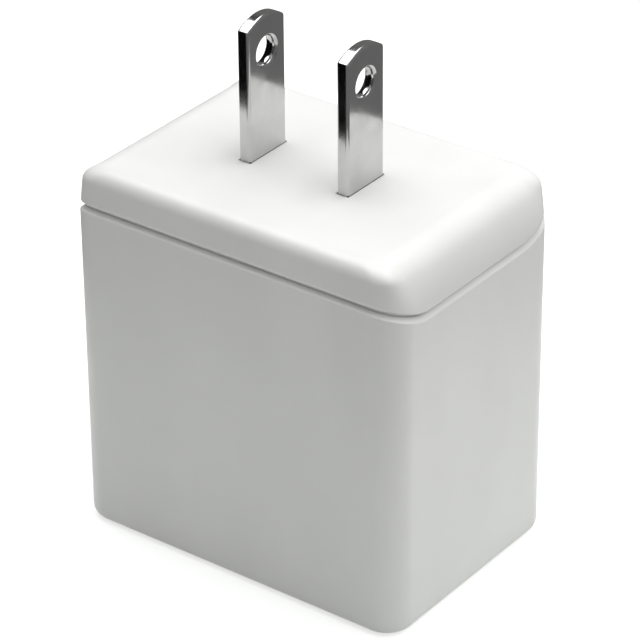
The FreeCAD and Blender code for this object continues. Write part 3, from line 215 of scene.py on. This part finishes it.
def piece(name, surfaces, slot, replaced):
    """Joins grids of points (rows, columns, 3), given with which ways they close, into one mesh:
    doubles merged, faces turned outwards, smooth, at the origin in metres."""
    points, faces, start = [], [], 0
    for rows, close_rows, close_columns in surfaces:
        rows = np.asarray(rows)
        points.append(rows.reshape(-1, 3))
        faces.append(grid_faces(rows.shape[0], rows.shape[1], close_rows, close_columns, start))
        start += rows.shape[0] * rows.shape[1]
    mesh = bpy.data.meshes.new(name)
    mesh.from_pydata((np.concatenate(points) * MM).tolist(), [], np.concatenate(faces).tolist())
    work = bmesh.new()
    work.from_mesh(mesh)
    bmesh.ops.remove_doubles(work, verts=work.verts, dist=MERGE * MM)
    bmesh.ops.dissolve_degenerate(work, edges=work.edges, dist=THIN * MM)
    bmesh.ops.recalc_face_normals(work, faces=work.faces)
    work.to_mesh(mesh)
    work.free()
    mesh.polygons.foreach_set("use_smooth", [True] * len(mesh.polygons))
    mesh.materials.append(FINISHES[slot])
    made = bpy.data.objects.new(name, mesh)
    scene.collection.objects.link(made)
    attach(made, "root")
    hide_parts(replaced)


# Materials: node networks on Object coordinates, in metres


class Finish:
    """A Principled material with helpers that add its procedural detail."""

    def __init__(self, name, color, roughness, metallic=0.0):
        self.material = bpy.data.materials.new(name)
        self.material.use_nodes = True
        self.tree = self.material.node_tree
        self.shader = self.tree.nodes["Principled BSDF"]
        self.shader.inputs["Base Color"].default_value = (*color, 1)
        self.shader.inputs["Roughness"].default_value = roughness
        self.shader.inputs["Metallic"].default_value = metallic
        self.place = self.tree.nodes.new("ShaderNodeTexCoord").outputs["Object"]
        self.slot, self.color, self.roughness, self.height = name, color, roughness, None

    def node(self, kind, inputs, **settings):
        """A new node with its settings, and with each input set or linked."""
        made = self.tree.nodes.new(kind)
        for key, setting in settings.items():
            setattr(made, key, setting)
        for key, source in inputs.items():
            if isinstance(source, bpy.types.NodeSocket):
                self.tree.links.new(source, made.inputs[key])
            else:
                made.inputs[key].default_value = source
        return made

    def noise(self, scale_mm, detail=3.0, stretch=(1, 1, 1), rough=0.5):
        """Noise whose features are about the given size; stretch makes them longer along an axis."""
        scale = [1 / (s * scale_mm * MM) for s in stretch]
        mapped = self.node("ShaderNodeMapping", {"Vector": self.place, "Scale": scale})
        texture = self.node("ShaderNodeTexNoise", {"Vector": mapped.outputs[0], "Scale": 1.0,
                                                   "Detail": detail, "Roughness": rough})
        return texture.outputs["Fac"]

    def spread(self, factor, low, high, start=0.35, end=0.65):
        """Maps the middle of a texture's range to low..high."""
        mapped = self.node("ShaderNodeMapRange", {"Value": factor, "From Min": start, "From Max": end,
                                                  "To Min": low, "To Max": high})
        return mapped.outputs["Result"]

    def tint(self, factor, share, start=0.35, end=0.65):
        """Darkens the base colour to a share of itself where the factor is high."""
        mix = self.node("ShaderNodeMix", {"Factor": self.spread(factor, 0.0, 1.0, start, end)},
                        data_type="RGBA")
        mix.inputs["A"].default_value = (*self.color, 1)
        mix.inputs["B"].default_value = (*(c * share for c in self.color), 1)
        self.tree.links.new(mix.outputs["Result"], self.shader.inputs["Base Color"])
        return self

    def gloss(self, factor, swing):
        """Varies the roughness by plus and minus swing."""
        low, high = self.roughness - swing, self.roughness + swing
        self.tree.links.new(self.spread(factor, low, high), self.shader.inputs["Roughness"])
        return self

    def relief(self, factor, depth_mm, strength):
        """Adds a bump of a real depth, on top of any that is there."""
        inputs = {"Height": factor, "Distance": depth_mm * MM, "Strength": strength}
        if self.height:
            inputs["Normal"] = self.height
        self.height = self.node("ShaderNodeBump", inputs).outputs["Normal"]
        self.tree.links.new(self.height, self.shader.inputs["Normal"])
        return self


def moulded(name, color, roughness):
    """Injection moulded plastic: fine spark texture, faint flow streaks and handling polish."""
    made = Finish(name, color, roughness)
    grain = made.noise(0.25, detail=4.0)
    drift = made.noise(9.0, detail=2.0, stretch=(1, 1, 2.5))
    made.tint(drift, share=0.965).gloss(made.noise(3.5), swing=0.05)
    made.relief(grain, depth_mm=0.004, strength=0.5).relief(drift, depth_mm=0.01, strength=0.3)
    made.shader.inputs["Specular IOR Level"].default_value = 0.45
    return made


def plated(name, color, roughness, stretch=(1, 1, 12)):
    """Plated or bare metal strip: faint rolling lines along it, small pits and soft dulling."""
    made = Finish(name, color, roughness, metallic=1.0)
    lines = made.noise(0.06, stretch=stretch)
    dull = made.noise(2.2)
    made.tint(dull, share=0.93).gloss(dull, swing=0.03)
    made.relief(lines, depth_mm=0.0015, strength=0.25)
    return made.relief(made.noise(0.4), depth_mm=0.0015, strength=0.15)


def enamelled_wire(name, color, axis, pitch):
    """Turns of enamelled wire side by side: round ridges along one axis of the winding. A wave
    texture at scale 1 runs 20 radians for each unit, and its sine peaks at every second turn."""
    made = Finish(name, color, 0.32, metallic=0.75)
    wave = made.node("ShaderNodeTexWave", {"Vector": made.place, "Scale": math.pi / (20 * pitch * MM),
                                           "Distortion": 0.4, "Detail": 1.0, "Detail Scale": 2.0},
                     wave_type="BANDS", bands_direction=axis, wave_profile="SIN").outputs["Fac"]
    made.tint(wave, share=0.55, start=0.1, end=0.9).gloss(made.noise(0.6), swing=0.08)
    return made.relief(wave, depth_mm=0.3 * pitch, strength=0.8)


def film(name, color, roughness=0.3):
    """Tape or shrunk sleeve: glossy, with slight wrinkles."""
    made = Finish(name, color, roughness)
    wrinkle = made.noise(1.6, detail=2.0, stretch=(1, 3, 1))
    made.tint(wrinkle, share=0.88).gloss(made.noise(0.8), swing=0.08)
    return made.relief(wrinkle, depth_mm=0.05, strength=0.5)


def laminate(name, color):
    """Circuit board: a faint weave of glass both ways under the surface."""
    made = Finish(name, color, 0.36)
    across = made.noise(0.4, detail=1.0, stretch=(1, 1, 8))
    along = made.noise(0.4, detail=1.0, stretch=(8, 1, 1))
    made.tint(across, share=0.8).gloss(along, swing=0.07)
    return made.relief(across, depth_mm=0.01, strength=0.4).relief(along, depth_mm=0.01, strength=0.4)


def pressed(name, color, roughness):
    """Pressed or dipped ceramic: fine grain and small pores."""
    made = Finish(name, color, roughness)
    pores = made.noise(0.12, detail=5.0, rough=0.7)
    made.tint(pores, share=0.7, start=0.5, end=0.75).gloss(made.noise(1.0), swing=0.08)
    return made.relief(pores, depth_mm=0.02, strength=0.5)


def soft_rubber(name, color):
    """Matte rubber or wire insulation with a fine tooth."""
    made = Finish(name, color, 0.6)
    tooth = made.noise(0.15, detail=4.0)
    made.tint(made.noise(2.0), share=0.8).gloss(tooth, swing=0.06)
    return made.relief(tooth, depth_mm=0.01, strength=0.5)


def melted(name, color):
    """Solder: bright, wetted, with soft cooling ripples."""
    made = Finish(name, color, 0.24, metallic=1.0)
    ripple = made.noise(0.4, detail=2.0)
    made.tint(ripple, share=0.75).gloss(ripple, swing=0.1)
    return made.relief(ripple, depth_mm=0.03, strength=0.5)


FINISHES = {finish.slot: finish.material for finish in (
    moulded("shell_plastic", (0.80, 0.80, 0.79), 0.40),
    plated("blade_nickel", (0.60, 0.60, 0.595), 0.13),
    moulded("retainer_plastic", (0.05, 0.05, 0.05), 0.5),
    soft_rubber("lead_black", (0.02, 0.02, 0.02)),
    soft_rubber("lead_white", (0.75, 0.75, 0.73)),
    laminate("board_laminate", (0.50, 0.36, 0.15)),
    laminate("board_mask", (0.03, 0.20, 0.07)),
    pressed("fuse_coat", (0.16, 0.34, 0.24), 0.5),
    pressed("choke_coat", (0.12, 0.30, 0.14), 0.35),
    pressed("mould_compound", (0.03, 0.03, 0.033), 0.6),
    plated("can_aluminium", (0.80, 0.80, 0.81), 0.25, (1, 12, 1)),
    film("sleeve_film", (0.03, 0.04, 0.10)),
    soft_rubber("seal_rubber", (0.04, 0.04, 0.04)),
    moulded("bobbin_plastic", (0.03, 0.03, 0.03), 0.35),
    enamelled_wire("winding_copper", (0.62, 0.24, 0.09), "X", 0.25),
    film("tape_yellow", (0.74, 0.50, 0.05), 0.25),
    pressed("ferrite", (0.055, 0.055, 0.06), 0.5),
    pressed("disc_coat", (0.05, 0.18, 0.45), 0.35),
    pressed("chip_ceramic", (0.04, 0.04, 0.045), 0.3),
    plated("socket_steel", (0.70, 0.69, 0.67), 0.25, (12, 1, 1)),
    moulded("socket_insulator", (0.76, 0.76, 0.74), 0.45),
    plated("contact_gold", (0.85, 0.60, 0.24), 0.25),
    plated("tinned_wire", (0.72, 0.72, 0.73), 0.3, (1, 12, 1)),
    melted("solder", (0.64, 0.65, 0.67)),
)}


def dress_frame():
    """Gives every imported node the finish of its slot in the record."""
    for entry in frame["record"]["subparts"]:
        packed = frame["nodes"][entry["node"]]
        packed.data.materials.clear()
        packed.data.materials.append(FINISHES[entry["material_slot"]])


# The housing


def snapped(row, radius, setback):
    """A ring pushed out on the long faces where a bead or its groove lies: by an arc of the radius
    round the catch level, less the distance that the arc's centre is set back inside the wall."""
    out = np.sqrt(np.clip(radius ** 2 - (row[:, 2] - CATCH_LEVEL) ** 2, 0, None)) - setback
    along = np.abs(np.abs(row[:, 0]) - CATCH_PITCH / 2) < CATCH_LENGTH / 2
    flat = np.abs(row[:, 1]) > np.abs(row[:, 1]).max() - THIN
    push = np.where(along & flat, np.clip(out, 0, None), 0)
    return row + np.stack([0 * push, np.sign(row[:, 1]) * push, 0 * push], axis=1)


def snap_rows(width, depth, corner, radius, setback):
    """Rings of a straight wall from above its snap beads or grooves to below them."""
    reach = math.sqrt(radius ** 2 - setback ** 2)
    return [snapped(ring(width, depth, corner, CATCH_LEVEL + reach * math.sin(angle)), radius, setback)
            for angle in np.linspace(np.pi / 2, -np.pi / 2, CATCH_ROWS)]


def block(x, y, size_x, size_y, low, high):
    """A plain bar: four corners carried from the low level to the high one, closed by its ends."""
    corners = np.array([(-1, -1), (1, -1), (1, 1), (-1, 1)]) * [size_x / 2, size_y / 2] + [x, y]
    sides = [np.column_stack([corners, np.full(4, level)]) for level in (low, high)]
    ends = [np.tile([x, y, level], (4, 1)) for level in (low, high)]
    return [ends[0], sides[0], sides[1], ends[1]], False, True


def inner_guides():
    """Ribs that hold the upright board's edges, the feet under it and the posts of the level board.
    All run half a wall deep into the case."""
    made, middle = [], (BOARD_LOW[1] + BOARD_HIGH[1]) / 2
    cavity = CASE_WIDTH - 2 * CASE_WALL
    low = CASE_WALL / 2
    reach = CASE_WALL / 2 + (cavity - (BOARD_HIGH - BOARD_LOW)[0]) / 2 + RIB_GRIP
    for side in (-1, 1):
        made.append(block(side * (LEVEL_HIGH[0] - POST_INSET), LEVEL_LOW[1] + POST_INSET + POST_SIDE / 2,
                          POST_SIDE, POST_SIDE, low, LEVEL_LOW[2]))
        made.append(block(side * (BOARD_HIGH[0] - FOOT_WIDTH), middle, FOOT_WIDTH,
                          (BOARD_HIGH - BOARD_LOW)[1] + 2 * BOARD_PLAY, low, BOARD_LOW[2]))
        for y in (BOARD_LOW[1] - BOARD_PLAY - RIB_WIDTH / 2, BOARD_HIGH[1] + BOARD_PLAY + RIB_WIDTH / 2):
            made.append(block(side * (cavity / 2 + CASE_WALL / 2 - reach / 2), y, reach, RIB_WIDTH,
                              low, BOARD_HIGH[2]))
    return made


def case_shell():
    """Deep housing: rings from the socket's mouth over the base, up the wall, across the waved rim
    and down inside round the socket's collar back to the mouth, closed both ways."""
    rows = [ring(PORT_WIDTH + 2 * out, PORT_DEPTH + 2 * out, PORT_CORNER + out, 0)
            for out in [PORT_FLARE] + [PORT_FLARE + guard for guard in PORT_GUARDS]]
    rows += [ring(CASE_WIDTH - 2 * BASE_ROUND - 2 * guard, CASE_DEPTH - 2 * BASE_ROUND - 2 * guard,
                  CASE_CORNER - BASE_ROUND, 0) for guard in BASE_GUARDS]
    rows += [case_ring(BASE_ROUND * (1 - math.sin(angle)), BASE_ROUND * (1 - math.cos(angle)))
             for angle in np.linspace(0, np.pi / 2, BASE_ROWS)]
    rows += [case_ring(0, towards_seam(BASE_ROUND, -WALL_END, share))
             for share in np.linspace(WALL_START, 1, WALL_ROWS)]
    rows += [case_ring(inward * RIM_CHAMFER, above_seam(-down * RIM_CHAMFER))
             for inward, down in RIM_SHARES]
    rows += [case_ring(CASE_WALL - inward, above_seam(-down))
             for inward, down in ((LIP_ROUND, 0), (LIP_MIDDLE, LIP_MIDDLE), (0, LIP_ROUND))]
    inner = CASE_WIDTH - 2 * CASE_WALL, CASE_DEPTH - 2 * CASE_WALL, CASE_CORNER - CASE_WALL
    rows += snap_rows(*inner, CATCH_RADIUS + FIT, FIT)
    rows += [ring(inner[0] - 2 * inset, inner[1] - 2 * inset, inner[2], CASE_WALL + rise)
             for inset, rise in FLOOR_FILLET]
    ease, below_top = 2 * COLLAR_EASE, COLLAR_TOP - COLLAR_EASE
    rows += [ring(COLLAR_WIDTH, COLLAR_DEPTH, COLLAR_CORNER, CASE_WALL),
             ring(COLLAR_WIDTH, COLLAR_DEPTH, COLLAR_CORNER, below_top),
             ring(COLLAR_WIDTH - ease, COLLAR_DEPTH - ease, COLLAR_CORNER - COLLAR_EASE, COLLAR_TOP),
             ring(WELL_WIDTH + ease, WELL_DEPTH + ease, WELL_CORNER + COLLAR_EASE, COLLAR_TOP),
             ring(WELL_WIDTH, WELL_DEPTH, WELL_CORNER, below_top),
             ring(WELL_WIDTH, WELL_DEPTH, WELL_CORNER, CASE_WALL),
             ring(PORT_WIDTH, PORT_DEPTH, PORT_CORNER, CASE_WALL),
             ring(PORT_WIDTH, PORT_DEPTH, PORT_CORNER, PORT_FLARE)]
    piece("case_shell", [(rows, True, True)] + inner_guides(), "shell_plastic", "case")


def half_outline(points, sign):
    """The part of a ring on one side of the middle plane, closed along that plane."""
    middle = len(points) // 2
    half = points[:middle + 1] if sign > 0 else np.concatenate([points[middle:], points[:1]])
    start, end = half[-1], half[0]
    steps = np.linspace(0, 1, MIDDLE_STEPS + 1, endpoint=False)[1:, None]
    return np.concatenate([half, start + (end - start) * steps])


def slot_outline(outline, x, margin, drop):
    """Each outline point carried straight towards the centre of the blade slot at x until it meets
    the slot's edge, with the points nearest the four corners set on them."""
    half = np.array([BLADE_THICKNESS, BLADE_WIDTH]) / 2 + SLOT_GAP + margin
    away = outline[:, :2] - [x, 0]
    nearly_zero = 1e-9
    points = away * (half / np.maximum(np.abs(away), nearly_zero)).min(axis=1)[:, None]
    for signs in ((-1, -1), (-1, 1), (1, -1), (1, 1)):
        points[np.argmin(np.linalg.norm(points - half * signs, axis=1))] = half * signs
    return np.column_stack([points[:, 0] + x, points[:, 1], outline[:, 2] - drop])


def side_bow(height, side_radius, side_end):
    """How far a side of the lid has come in at a height, and at the flat top: an arc of the side's
    radius up to where it ends, then a tangent arc that meets the top level."""
    tilt = math.asin((side_end - SIDE_START) / side_radius)
    edge = (CAP_TOP - side_end) / (1 - math.sin(tilt))
    whole = side_radius * (1 - math.cos(tilt)) + edge * math.cos(tilt)
    rise = np.clip(height - SIDE_START, 0, side_end - SIDE_START)
    low = side_radius - np.sqrt(side_radius ** 2 - rise ** 2)
    high = whole - np.sqrt(np.clip(edge ** 2 - (height - CAP_TOP + edge) ** 2, 0, None))
    return np.where(height < side_end, low, high), whole


def lid_ring(height, extra=0.0):
    """A ring on the lid's outside: each point goes from the lid's widest outline towards the outline
    of its flat top, by the bow of the side it is on, and round a corner by a share of both bows."""
    outer = ring(CAP_WIDTH, CAP_DEPTH, CAP_CORNER, height)
    inward = ring(CAP_WIDTH - 2, CAP_DEPTH - 2, CAP_CORNER - 1, height) - outer
    short_in, short_whole = side_bow(outer[:, 2], *SHORT_SIDE)
    long_in, long_whole = side_bow(outer[:, 2], *LONG_SIDE)
    top = ring(CAP_WIDTH - 2 * short_whole, CAP_DEPTH - 2 * long_whole, CAP_TOP_CORNER, height)
    share = np.abs(inward[:, 0]) ** SIDE_BLEND
    come_in = share * short_in / short_whole + (1 - share) * long_in / long_whole
    return outer + (top - outer) * come_in[:, None] + inward * extra


def stake(y):
    """A round pin of the lid on the middle plane, from its melted head up into the boss: circles
    from pairs of radius and height above the blade plate's lower face."""
    head, low, ease = STAKE_HEAD_RADIUS, -STAKE_HEAD_HEIGHT, STAKE_HEAD_EASE
    root = (RETAINER_HIGH - RETAINER_LOW)[2] + STAKE_ROOT
    profile = ((0, low), (head - ease, low), (head, low + ease), (head, 0), (STAKE_RADIUS, 0),
               (STAKE_RADIUS, root), (0, root))
    turn = np.linspace(0, 2 * np.pi, STAKE_STEPS, endpoint=False)
    rows = [np.stack([radius * np.cos(turn), y + radius * np.sin(turn),
                      np.full(STAKE_STEPS, RETAINER_LOW[2] + z)], axis=1) for radius, z in profile]
    return rows, False, True


def cap_shell():
    """Shallow lid: rings from the flat face over the soft edge, down the side, under the shadow gap
    to its seat, and round the spigot to the boss; the two flats are rings round the blade slots."""
    edge_height = CAP_TOP - LONG_SIDE[1]
    rows = [lid_ring(CAP_TOP, CAP_GUARD)]
    rows += [lid_ring(CAP_TOP - edge_height * (1 - math.sin(angle)))
             for angle in np.linspace(math.pi / 2, 0, EDGE_ROWS)]
    rows += [lid_ring(towards_seam(LONG_SIDE[1], GAP_HEIGHT + LIP_ROUND, share))
             for share in np.linspace(0, 1, SIDE_ROWS + 1)[1:]]
    rows += [lid_ring(above_seam(GAP_HEIGHT + rise), inset)
             for inset, rise in ((LIP_MIDDLE, LIP_MIDDLE), (LIP_ROUND, 0))]
    rows += [case_ring(GAP_DEPTH, above_seam(GAP_HEIGHT)),
             case_ring(GAP_DEPTH + GAP_EASE, above_seam(GAP_HEIGHT - GAP_EASE)),
             case_ring(GAP_DEPTH + GAP_EASE, seam)]
    outer = [size - 2 * CASE_WALL - 2 * FIT for size in (CASE_WIDTH, CASE_DEPTH)]
    tip = [size - 2 * SPIGOT_TIP for size in outer]
    inner = [size - 2 * SPIGOT_WALL for size in outer]
    boss = (RETAINER_HIGH - RETAINER_LOW)[:2]
    rows.append(ring(*outer, SPIGOT_CORNER, seam))
    rows += snap_rows(*outer, SPIGOT_CORNER, CATCH_RADIUS, 0)
    rows += [ring(*outer, SPIGOT_CORNER, SPIGOT_LOW + SPIGOT_TIP),
             ring(*tip, TIP_CORNER, SPIGOT_LOW),
             ring(*inner, INNER_CORNER, SPIGOT_LOW),
             ring(*inner, INNER_CORNER, CAP_TOP - CAP_WALL),
             ring(*boss, BOSS_CORNER, CAP_TOP - CAP_WALL),
             ring(*boss, BOSS_CORNER, BOSS_LOW)]
    surfaces = [(rows, False, True), stake(-STAKE_Y), stake(STAKE_Y)]
    for sign in (-1, 1):
        upper, lower = half_outline(rows[0], sign), half_outline(rows[-1], sign)
        slot_rows = [upper]
        slot_rows += [slot_outline(upper, sign * BLADE_X, margin, drop) for margin, drop in SLOT_RINGS]
        slot_rows += [slot_outline(lower, sign * BLADE_X, 0, 0), lower]
        surfaces.append((slot_rows, False, True))
    piece("cap_shell", surfaces, "shell_plastic", "blade_cap")


# The blades


def inset_outline(corners, distance):
    """The corners of a polygon moved inwards so that each side shifts by the given distance."""
    ahead = np.roll(corners, -1, axis=0) - corners
    ahead /= np.linalg.norm(ahead, axis=1)[:, None]
    normal = np.stack([-ahead[:, 1], ahead[:, 0]], axis=1)
    before = np.roll(normal, 1, axis=0)
    shift = (normal + before) / (1 + np.sum(normal * before, axis=1))[:, None]
    return corners + shift * distance


def blade_outline():
    """The blade's flat shape above its shoulder as points (y, z): up one edge, over the tip's arc
    that rises by the tip's height, down the other edge and back along the foot."""
    half, corner = BLADE_WIDTH / 2, BLADE_TIP - TIP_RISE
    radius = (half ** 2 + TIP_RISE ** 2) / (2 * TIP_RISE)
    spread = math.asin(half / radius)
    up = [(half, z) for z in np.linspace(BOSS_LOW, corner, BLADE_STEPS, endpoint=False)]
    tip = [(radius * math.sin(a), BLADE_TIP - radius + radius * math.cos(a))
           for a in np.linspace(spread, -spread, TIP_STEPS)]
    down = [(-half, z) for z in np.linspace(corner, BOSS_LOW, BLADE_STEPS, endpoint=False)[1:]]
    foot = [(y, BOSS_LOW) for y in np.linspace(-half, half, FOOT_STEPS, endpoint=False)]
    return np.array(up + tip + down + foot)


def blade_piece(name, replaced, x):
    """Stamped blade: rings of its outline and of its hole, from face to face, closed both ways,
    on the shoulder and the solder tail that the housing hides. Each ring of the hole has its points
    straight between the hole's centre and the outline's points."""
    corners = blade_outline()
    away = corners - [0, HOLE_Z]
    unit = away / np.linalg.norm(away, axis=1)[:, None]

    def hole(radius):
        """A ring of the given radius round the hole's centre."""
        return unit * radius + [0, HOLE_Z]

    face, wide = BLADE_THICKNESS / 2, HOLE_RADIUS + HOLE_BEVEL
    front = [(hole(HOLE_RADIUS + HOLE_BEVEL * out), face - HOLE_BEVEL * down)
             for out, down in HOLE_SHARES]
    front += [(hole(wide + BLADE_GUARD), face), (inset_outline(corners, BLADE_EDGE + BLADE_GUARD), face)]
    front += [(inset_outline(corners, BLADE_EDGE * inward), face - BLADE_EDGE * down)
              for inward, down in EDGE_SHARES]
    front.append((corners, face - BLADE_EDGE - BLADE_GUARD))
    levels = [(hole(HOLE_RADIUS), HOLE_BEVEL - face), (hole(HOLE_RADIUS), face - HOLE_BEVEL)]
    levels += front + [(shape, -level) for shape, level in reversed(front)]
    rows = [np.column_stack([np.full(len(shape), x + level), shape]) for shape, level in levels]
    hidden = [block(x, 0, BLADE_THICKNESS, SHOULDER_WIDTH, SHOULDER_LOW, BOSS_LOW),
              block(x, 0, BLADE_THICKNESS, TAIL_WIDTH, BLADE_END, SHOULDER_LOW)]
    piece(name, [(rows, True, True)] + hidden, "blade_nickel", replaced)


# Studio: the camera in millimetres, and the lamps, the floor and the sheets of painted reflection in
# metres

IMAGE_PIXELS, FOCAL_PIXELS = 640, 3502.3
SENSOR_WIDTH = 36.0
CAMERA_AZIMUTH, CAMERA_ELEVATION, CAMERA_ROLL = (math.radians(a) for a in (36.88, 30.191, -0.427))
CAMERA_DISTANCE = 373.85
CAMERA_TARGET = Vector((0.997, 0, 25.556))

# Each lamp's place, size and power; the world's strength where it isn't seen
LAMP_AIM = Vector((0, 0, 0.025))
LAMPS = {
    "top_lamp": ((-0.14, 0.10, 0.68), 0.7, 3.4),
    "key_lamp": ((0.27, 0.33, 0.60), 0.7, 2.6),
    "side_lamp": ((0.60, -0.10, 0.60), 0.4, 0.7),
}
AMBIENT = 0.36

# Rectangles are left, right, front, back and height; rings are radius and height
FLOOR = (-0.14, 0.09, -0.15, 0.11, 0)
FLOOR_COLOR, FLOOR_GLOW = (0.60, 0.62, 0.60), 0.62
# A glowing card that only reflections see: a painted highlight on the metal
HIGHLIGHT_CARD = (-0.52, -0.30, -0.30, 0.26, 0.7)
HIGHLIGHT_CARD_GLOW = 2.2
# A sheet that only reflections see, glowing dark to grey: painted reflections on the metal
REFLECTION_RINGS, REFLECTION_STEPS = ((0.068, 0.001), (0.28, 0.001), (0.30, 0.42)), 48
# The painted reflection glows from dark to light between two distances along a direction on the table
REFLECTION_DIRECTION = (0.75, 0.66, 0)
REFLECTION_GLOW = {"From Min": -0.07, "From Max": 0.015, "To Min": 0.004, "To Max": 0.19}


def photo_camera():
    """Stands where the photograph was taken from, with its long lens and slight roll."""
    azimuth, elevation, roll = CAMERA_AZIMUTH, CAMERA_ELEVATION, CAMERA_ROLL
    back = Vector((math.sin(azimuth) * math.cos(elevation), -math.cos(azimuth) * math.cos(elevation),
                   math.sin(elevation)))
    right = (-back).cross(Vector((0, 0, 1))).normalized()
    up = right.cross(-back)
    across = right * math.cos(roll) + up * math.sin(roll)
    upward = up * math.cos(roll) - right * math.sin(roll)
    turn = Matrix((across, upward, back)).transposed().to_4x4()
    data = bpy.data.cameras.new("photo_camera")
    data.sensor_width = SENSOR_WIDTH
    data.lens = SENSOR_WIDTH * FOCAL_PIXELS / IMAGE_PIXELS
    data.clip_start, data.clip_end = 0.01, 10
    made = bpy.data.objects.new("photo_camera", data)
    made.matrix_world = Matrix.Translation((CAMERA_TARGET + back * CAMERA_DISTANCE) * MM) @ turn
    scene.collection.objects.link(made)
    scene.camera = made


def lamp(name, place, size, power):
    """A soft square lamp that looks at the object."""
    data = bpy.data.lights.new(name, "AREA")
    data.shape, data.size, data.energy = "SQUARE", size, power
    made = bpy.data.objects.new(name, data)
    made.location = place
    made.rotation_mode = "QUATERNION"
    made.rotation_quaternion = (LAMP_AIM - Vector(place)).to_track_quat("-Z", "Y")
    scene.collection.objects.link(made)


def page_level(tree, elsewhere, seen):
    """One value where a ray comes from the camera, a mirror or a clear surface, another elsewhere."""
    path = tree.nodes.new("ShaderNodeLightPath")
    rays = path.outputs["Is Camera Ray"]
    for name in ("Is Glossy Ray", "Is Transmission Ray"):
        add = tree.nodes.new("ShaderNodeMath")
        add.operation = "MAXIMUM"
        tree.links.new(rays, add.inputs[0])
        tree.links.new(path.outputs[name], add.inputs[1])
        rays = add.outputs[0]
    level = tree.nodes.new("ShaderNodeMapRange")
    level.inputs["To Min"].default_value = elsewhere
    level.inputs["To Max"].default_value = seen
    tree.links.new(rays, level.inputs["Value"])
    return level.outputs["Result"]


def white_page():
    """The world is white where it is seen, and a softer light elsewhere."""
    world = bpy.data.worlds.new("page")
    world.use_nodes = True
    background = world.node_tree.nodes["Background"]
    background.inputs["Color"].default_value = (1, 1, 1, 1)
    strength = page_level(world.node_tree, AMBIENT, 1.0)
    world.node_tree.links.new(strength, background.inputs["Strength"])
    scene.world = world


def glowing(name):
    """A stage material with no shader but a glow; returns the material and its glow."""
    material = bpy.data.materials.new(name)
    material.use_nodes = True
    tree = material.node_tree
    tree.nodes.remove(tree.nodes["Principled BSDF"])
    glow = tree.nodes.new("ShaderNodeEmission")
    tree.links.new(glow.outputs[0], tree.nodes["Material Output"].inputs["Surface"])
    return material, glow


def stage_sheet(name, points, faces, material):
    """A sheet of the studio, which isn't part of the object."""
    mesh = bpy.data.meshes.new(name)
    mesh.from_pydata(points, [], faces)
    mesh.materials.append(material)
    made = bpy.data.objects.new(name, mesh)
    scene.collection.objects.link(made)
    return made


def rectangle(left, right, front, back, height):
    """Points and the one face of a level rectangle."""
    return [(left, front, height), (right, front, height), (right, back, height),
            (left, back, height)], [(0, 1, 2, 3)]


def pale_floor():
    """A pale table top that reads as the white page and keeps a faint shadow of the object."""
    material, glow = glowing("floor_white")
    tree = material.node_tree
    tree.links.new(page_level(tree, 0.0, FLOOR_GLOW), glow.inputs["Strength"])
    diffuse = tree.nodes.new("ShaderNodeBsdfDiffuse")
    diffuse.inputs["Color"].default_value = (*FLOOR_COLOR, 1)
    both = tree.nodes.new("ShaderNodeAddShader")
    tree.links.new(diffuse.outputs[0], both.inputs[0])
    tree.links.new(glow.outputs[0], both.inputs[1])
    tree.links.new(both.outputs[0], tree.nodes["Material Output"].inputs["Surface"])
    stage_sheet("floor", *rectangle(*FLOOR), material)


def mirrored_only(name, points, faces, material):
    """A sheet of the studio that only reflections show."""
    made = stage_sheet(name, points, faces, material)
    made.visible_camera = made.visible_diffuse = made.visible_shadow = False
    made.visible_transmission = False


def painted_reflection_surround():
    """Painted reflections, mostly for the plated metal: a glowing sheet that only reflections see, black
    on the left in front and grey elsewhere, as a flat ring on the table and a low wall round it."""
    points = [(radius * math.cos(a), radius * math.sin(a), height) for radius, height in REFLECTION_RINGS
              for a in np.linspace(0, 2 * math.pi, REFLECTION_STEPS, endpoint=False)]
    material, glow = glowing("painted_reflection_surround")
    tree = material.node_tree
    place = tree.nodes.new("ShaderNodeTexCoord")
    along = tree.nodes.new("ShaderNodeVectorMath")
    along.operation = "DOT_PRODUCT"
    along.inputs[1].default_value = REFLECTION_DIRECTION
    level = tree.nodes.new("ShaderNodeMapRange")
    for key, setting in REFLECTION_GLOW.items():
        level.inputs[key].default_value = setting
    tree.links.new(place.outputs["Object"], along.inputs[0])
    tree.links.new(along.outputs["Value"], level.inputs["Value"])
    tree.links.new(level.outputs["Result"], glow.inputs["Strength"])
    faces = grid_faces(len(REFLECTION_RINGS), REFLECTION_STEPS, False, True).tolist()
    mirrored_only("painted_reflection_surround", points, faces, material)


def painted_highlight_card():
    """A glowing card overhead on the left that only reflections see: a painted highlight on the metal."""
    material, glow = glowing("painted_highlight_card")
    glow.inputs["Strength"].default_value = HIGHLIGHT_CARD_GLOW
    mirrored_only("painted_highlight_card", *rectangle(*HIGHLIGHT_CARD), material)


dress_frame()
case_shell()
cap_shell()
blade_piece("blade_left_plated", "blade_left", -BLADE_X)
blade_piece("blade_right_plated", "blade_right", BLADE_X)
photo_camera()
white_page()
pale_floor()
painted_reflection_surround()
painted_highlight_card()
for name, (place, size, power) in LAMPS.items():
    lamp(name, place, size, power)

scene.view_settings.view_transform = "Standard"
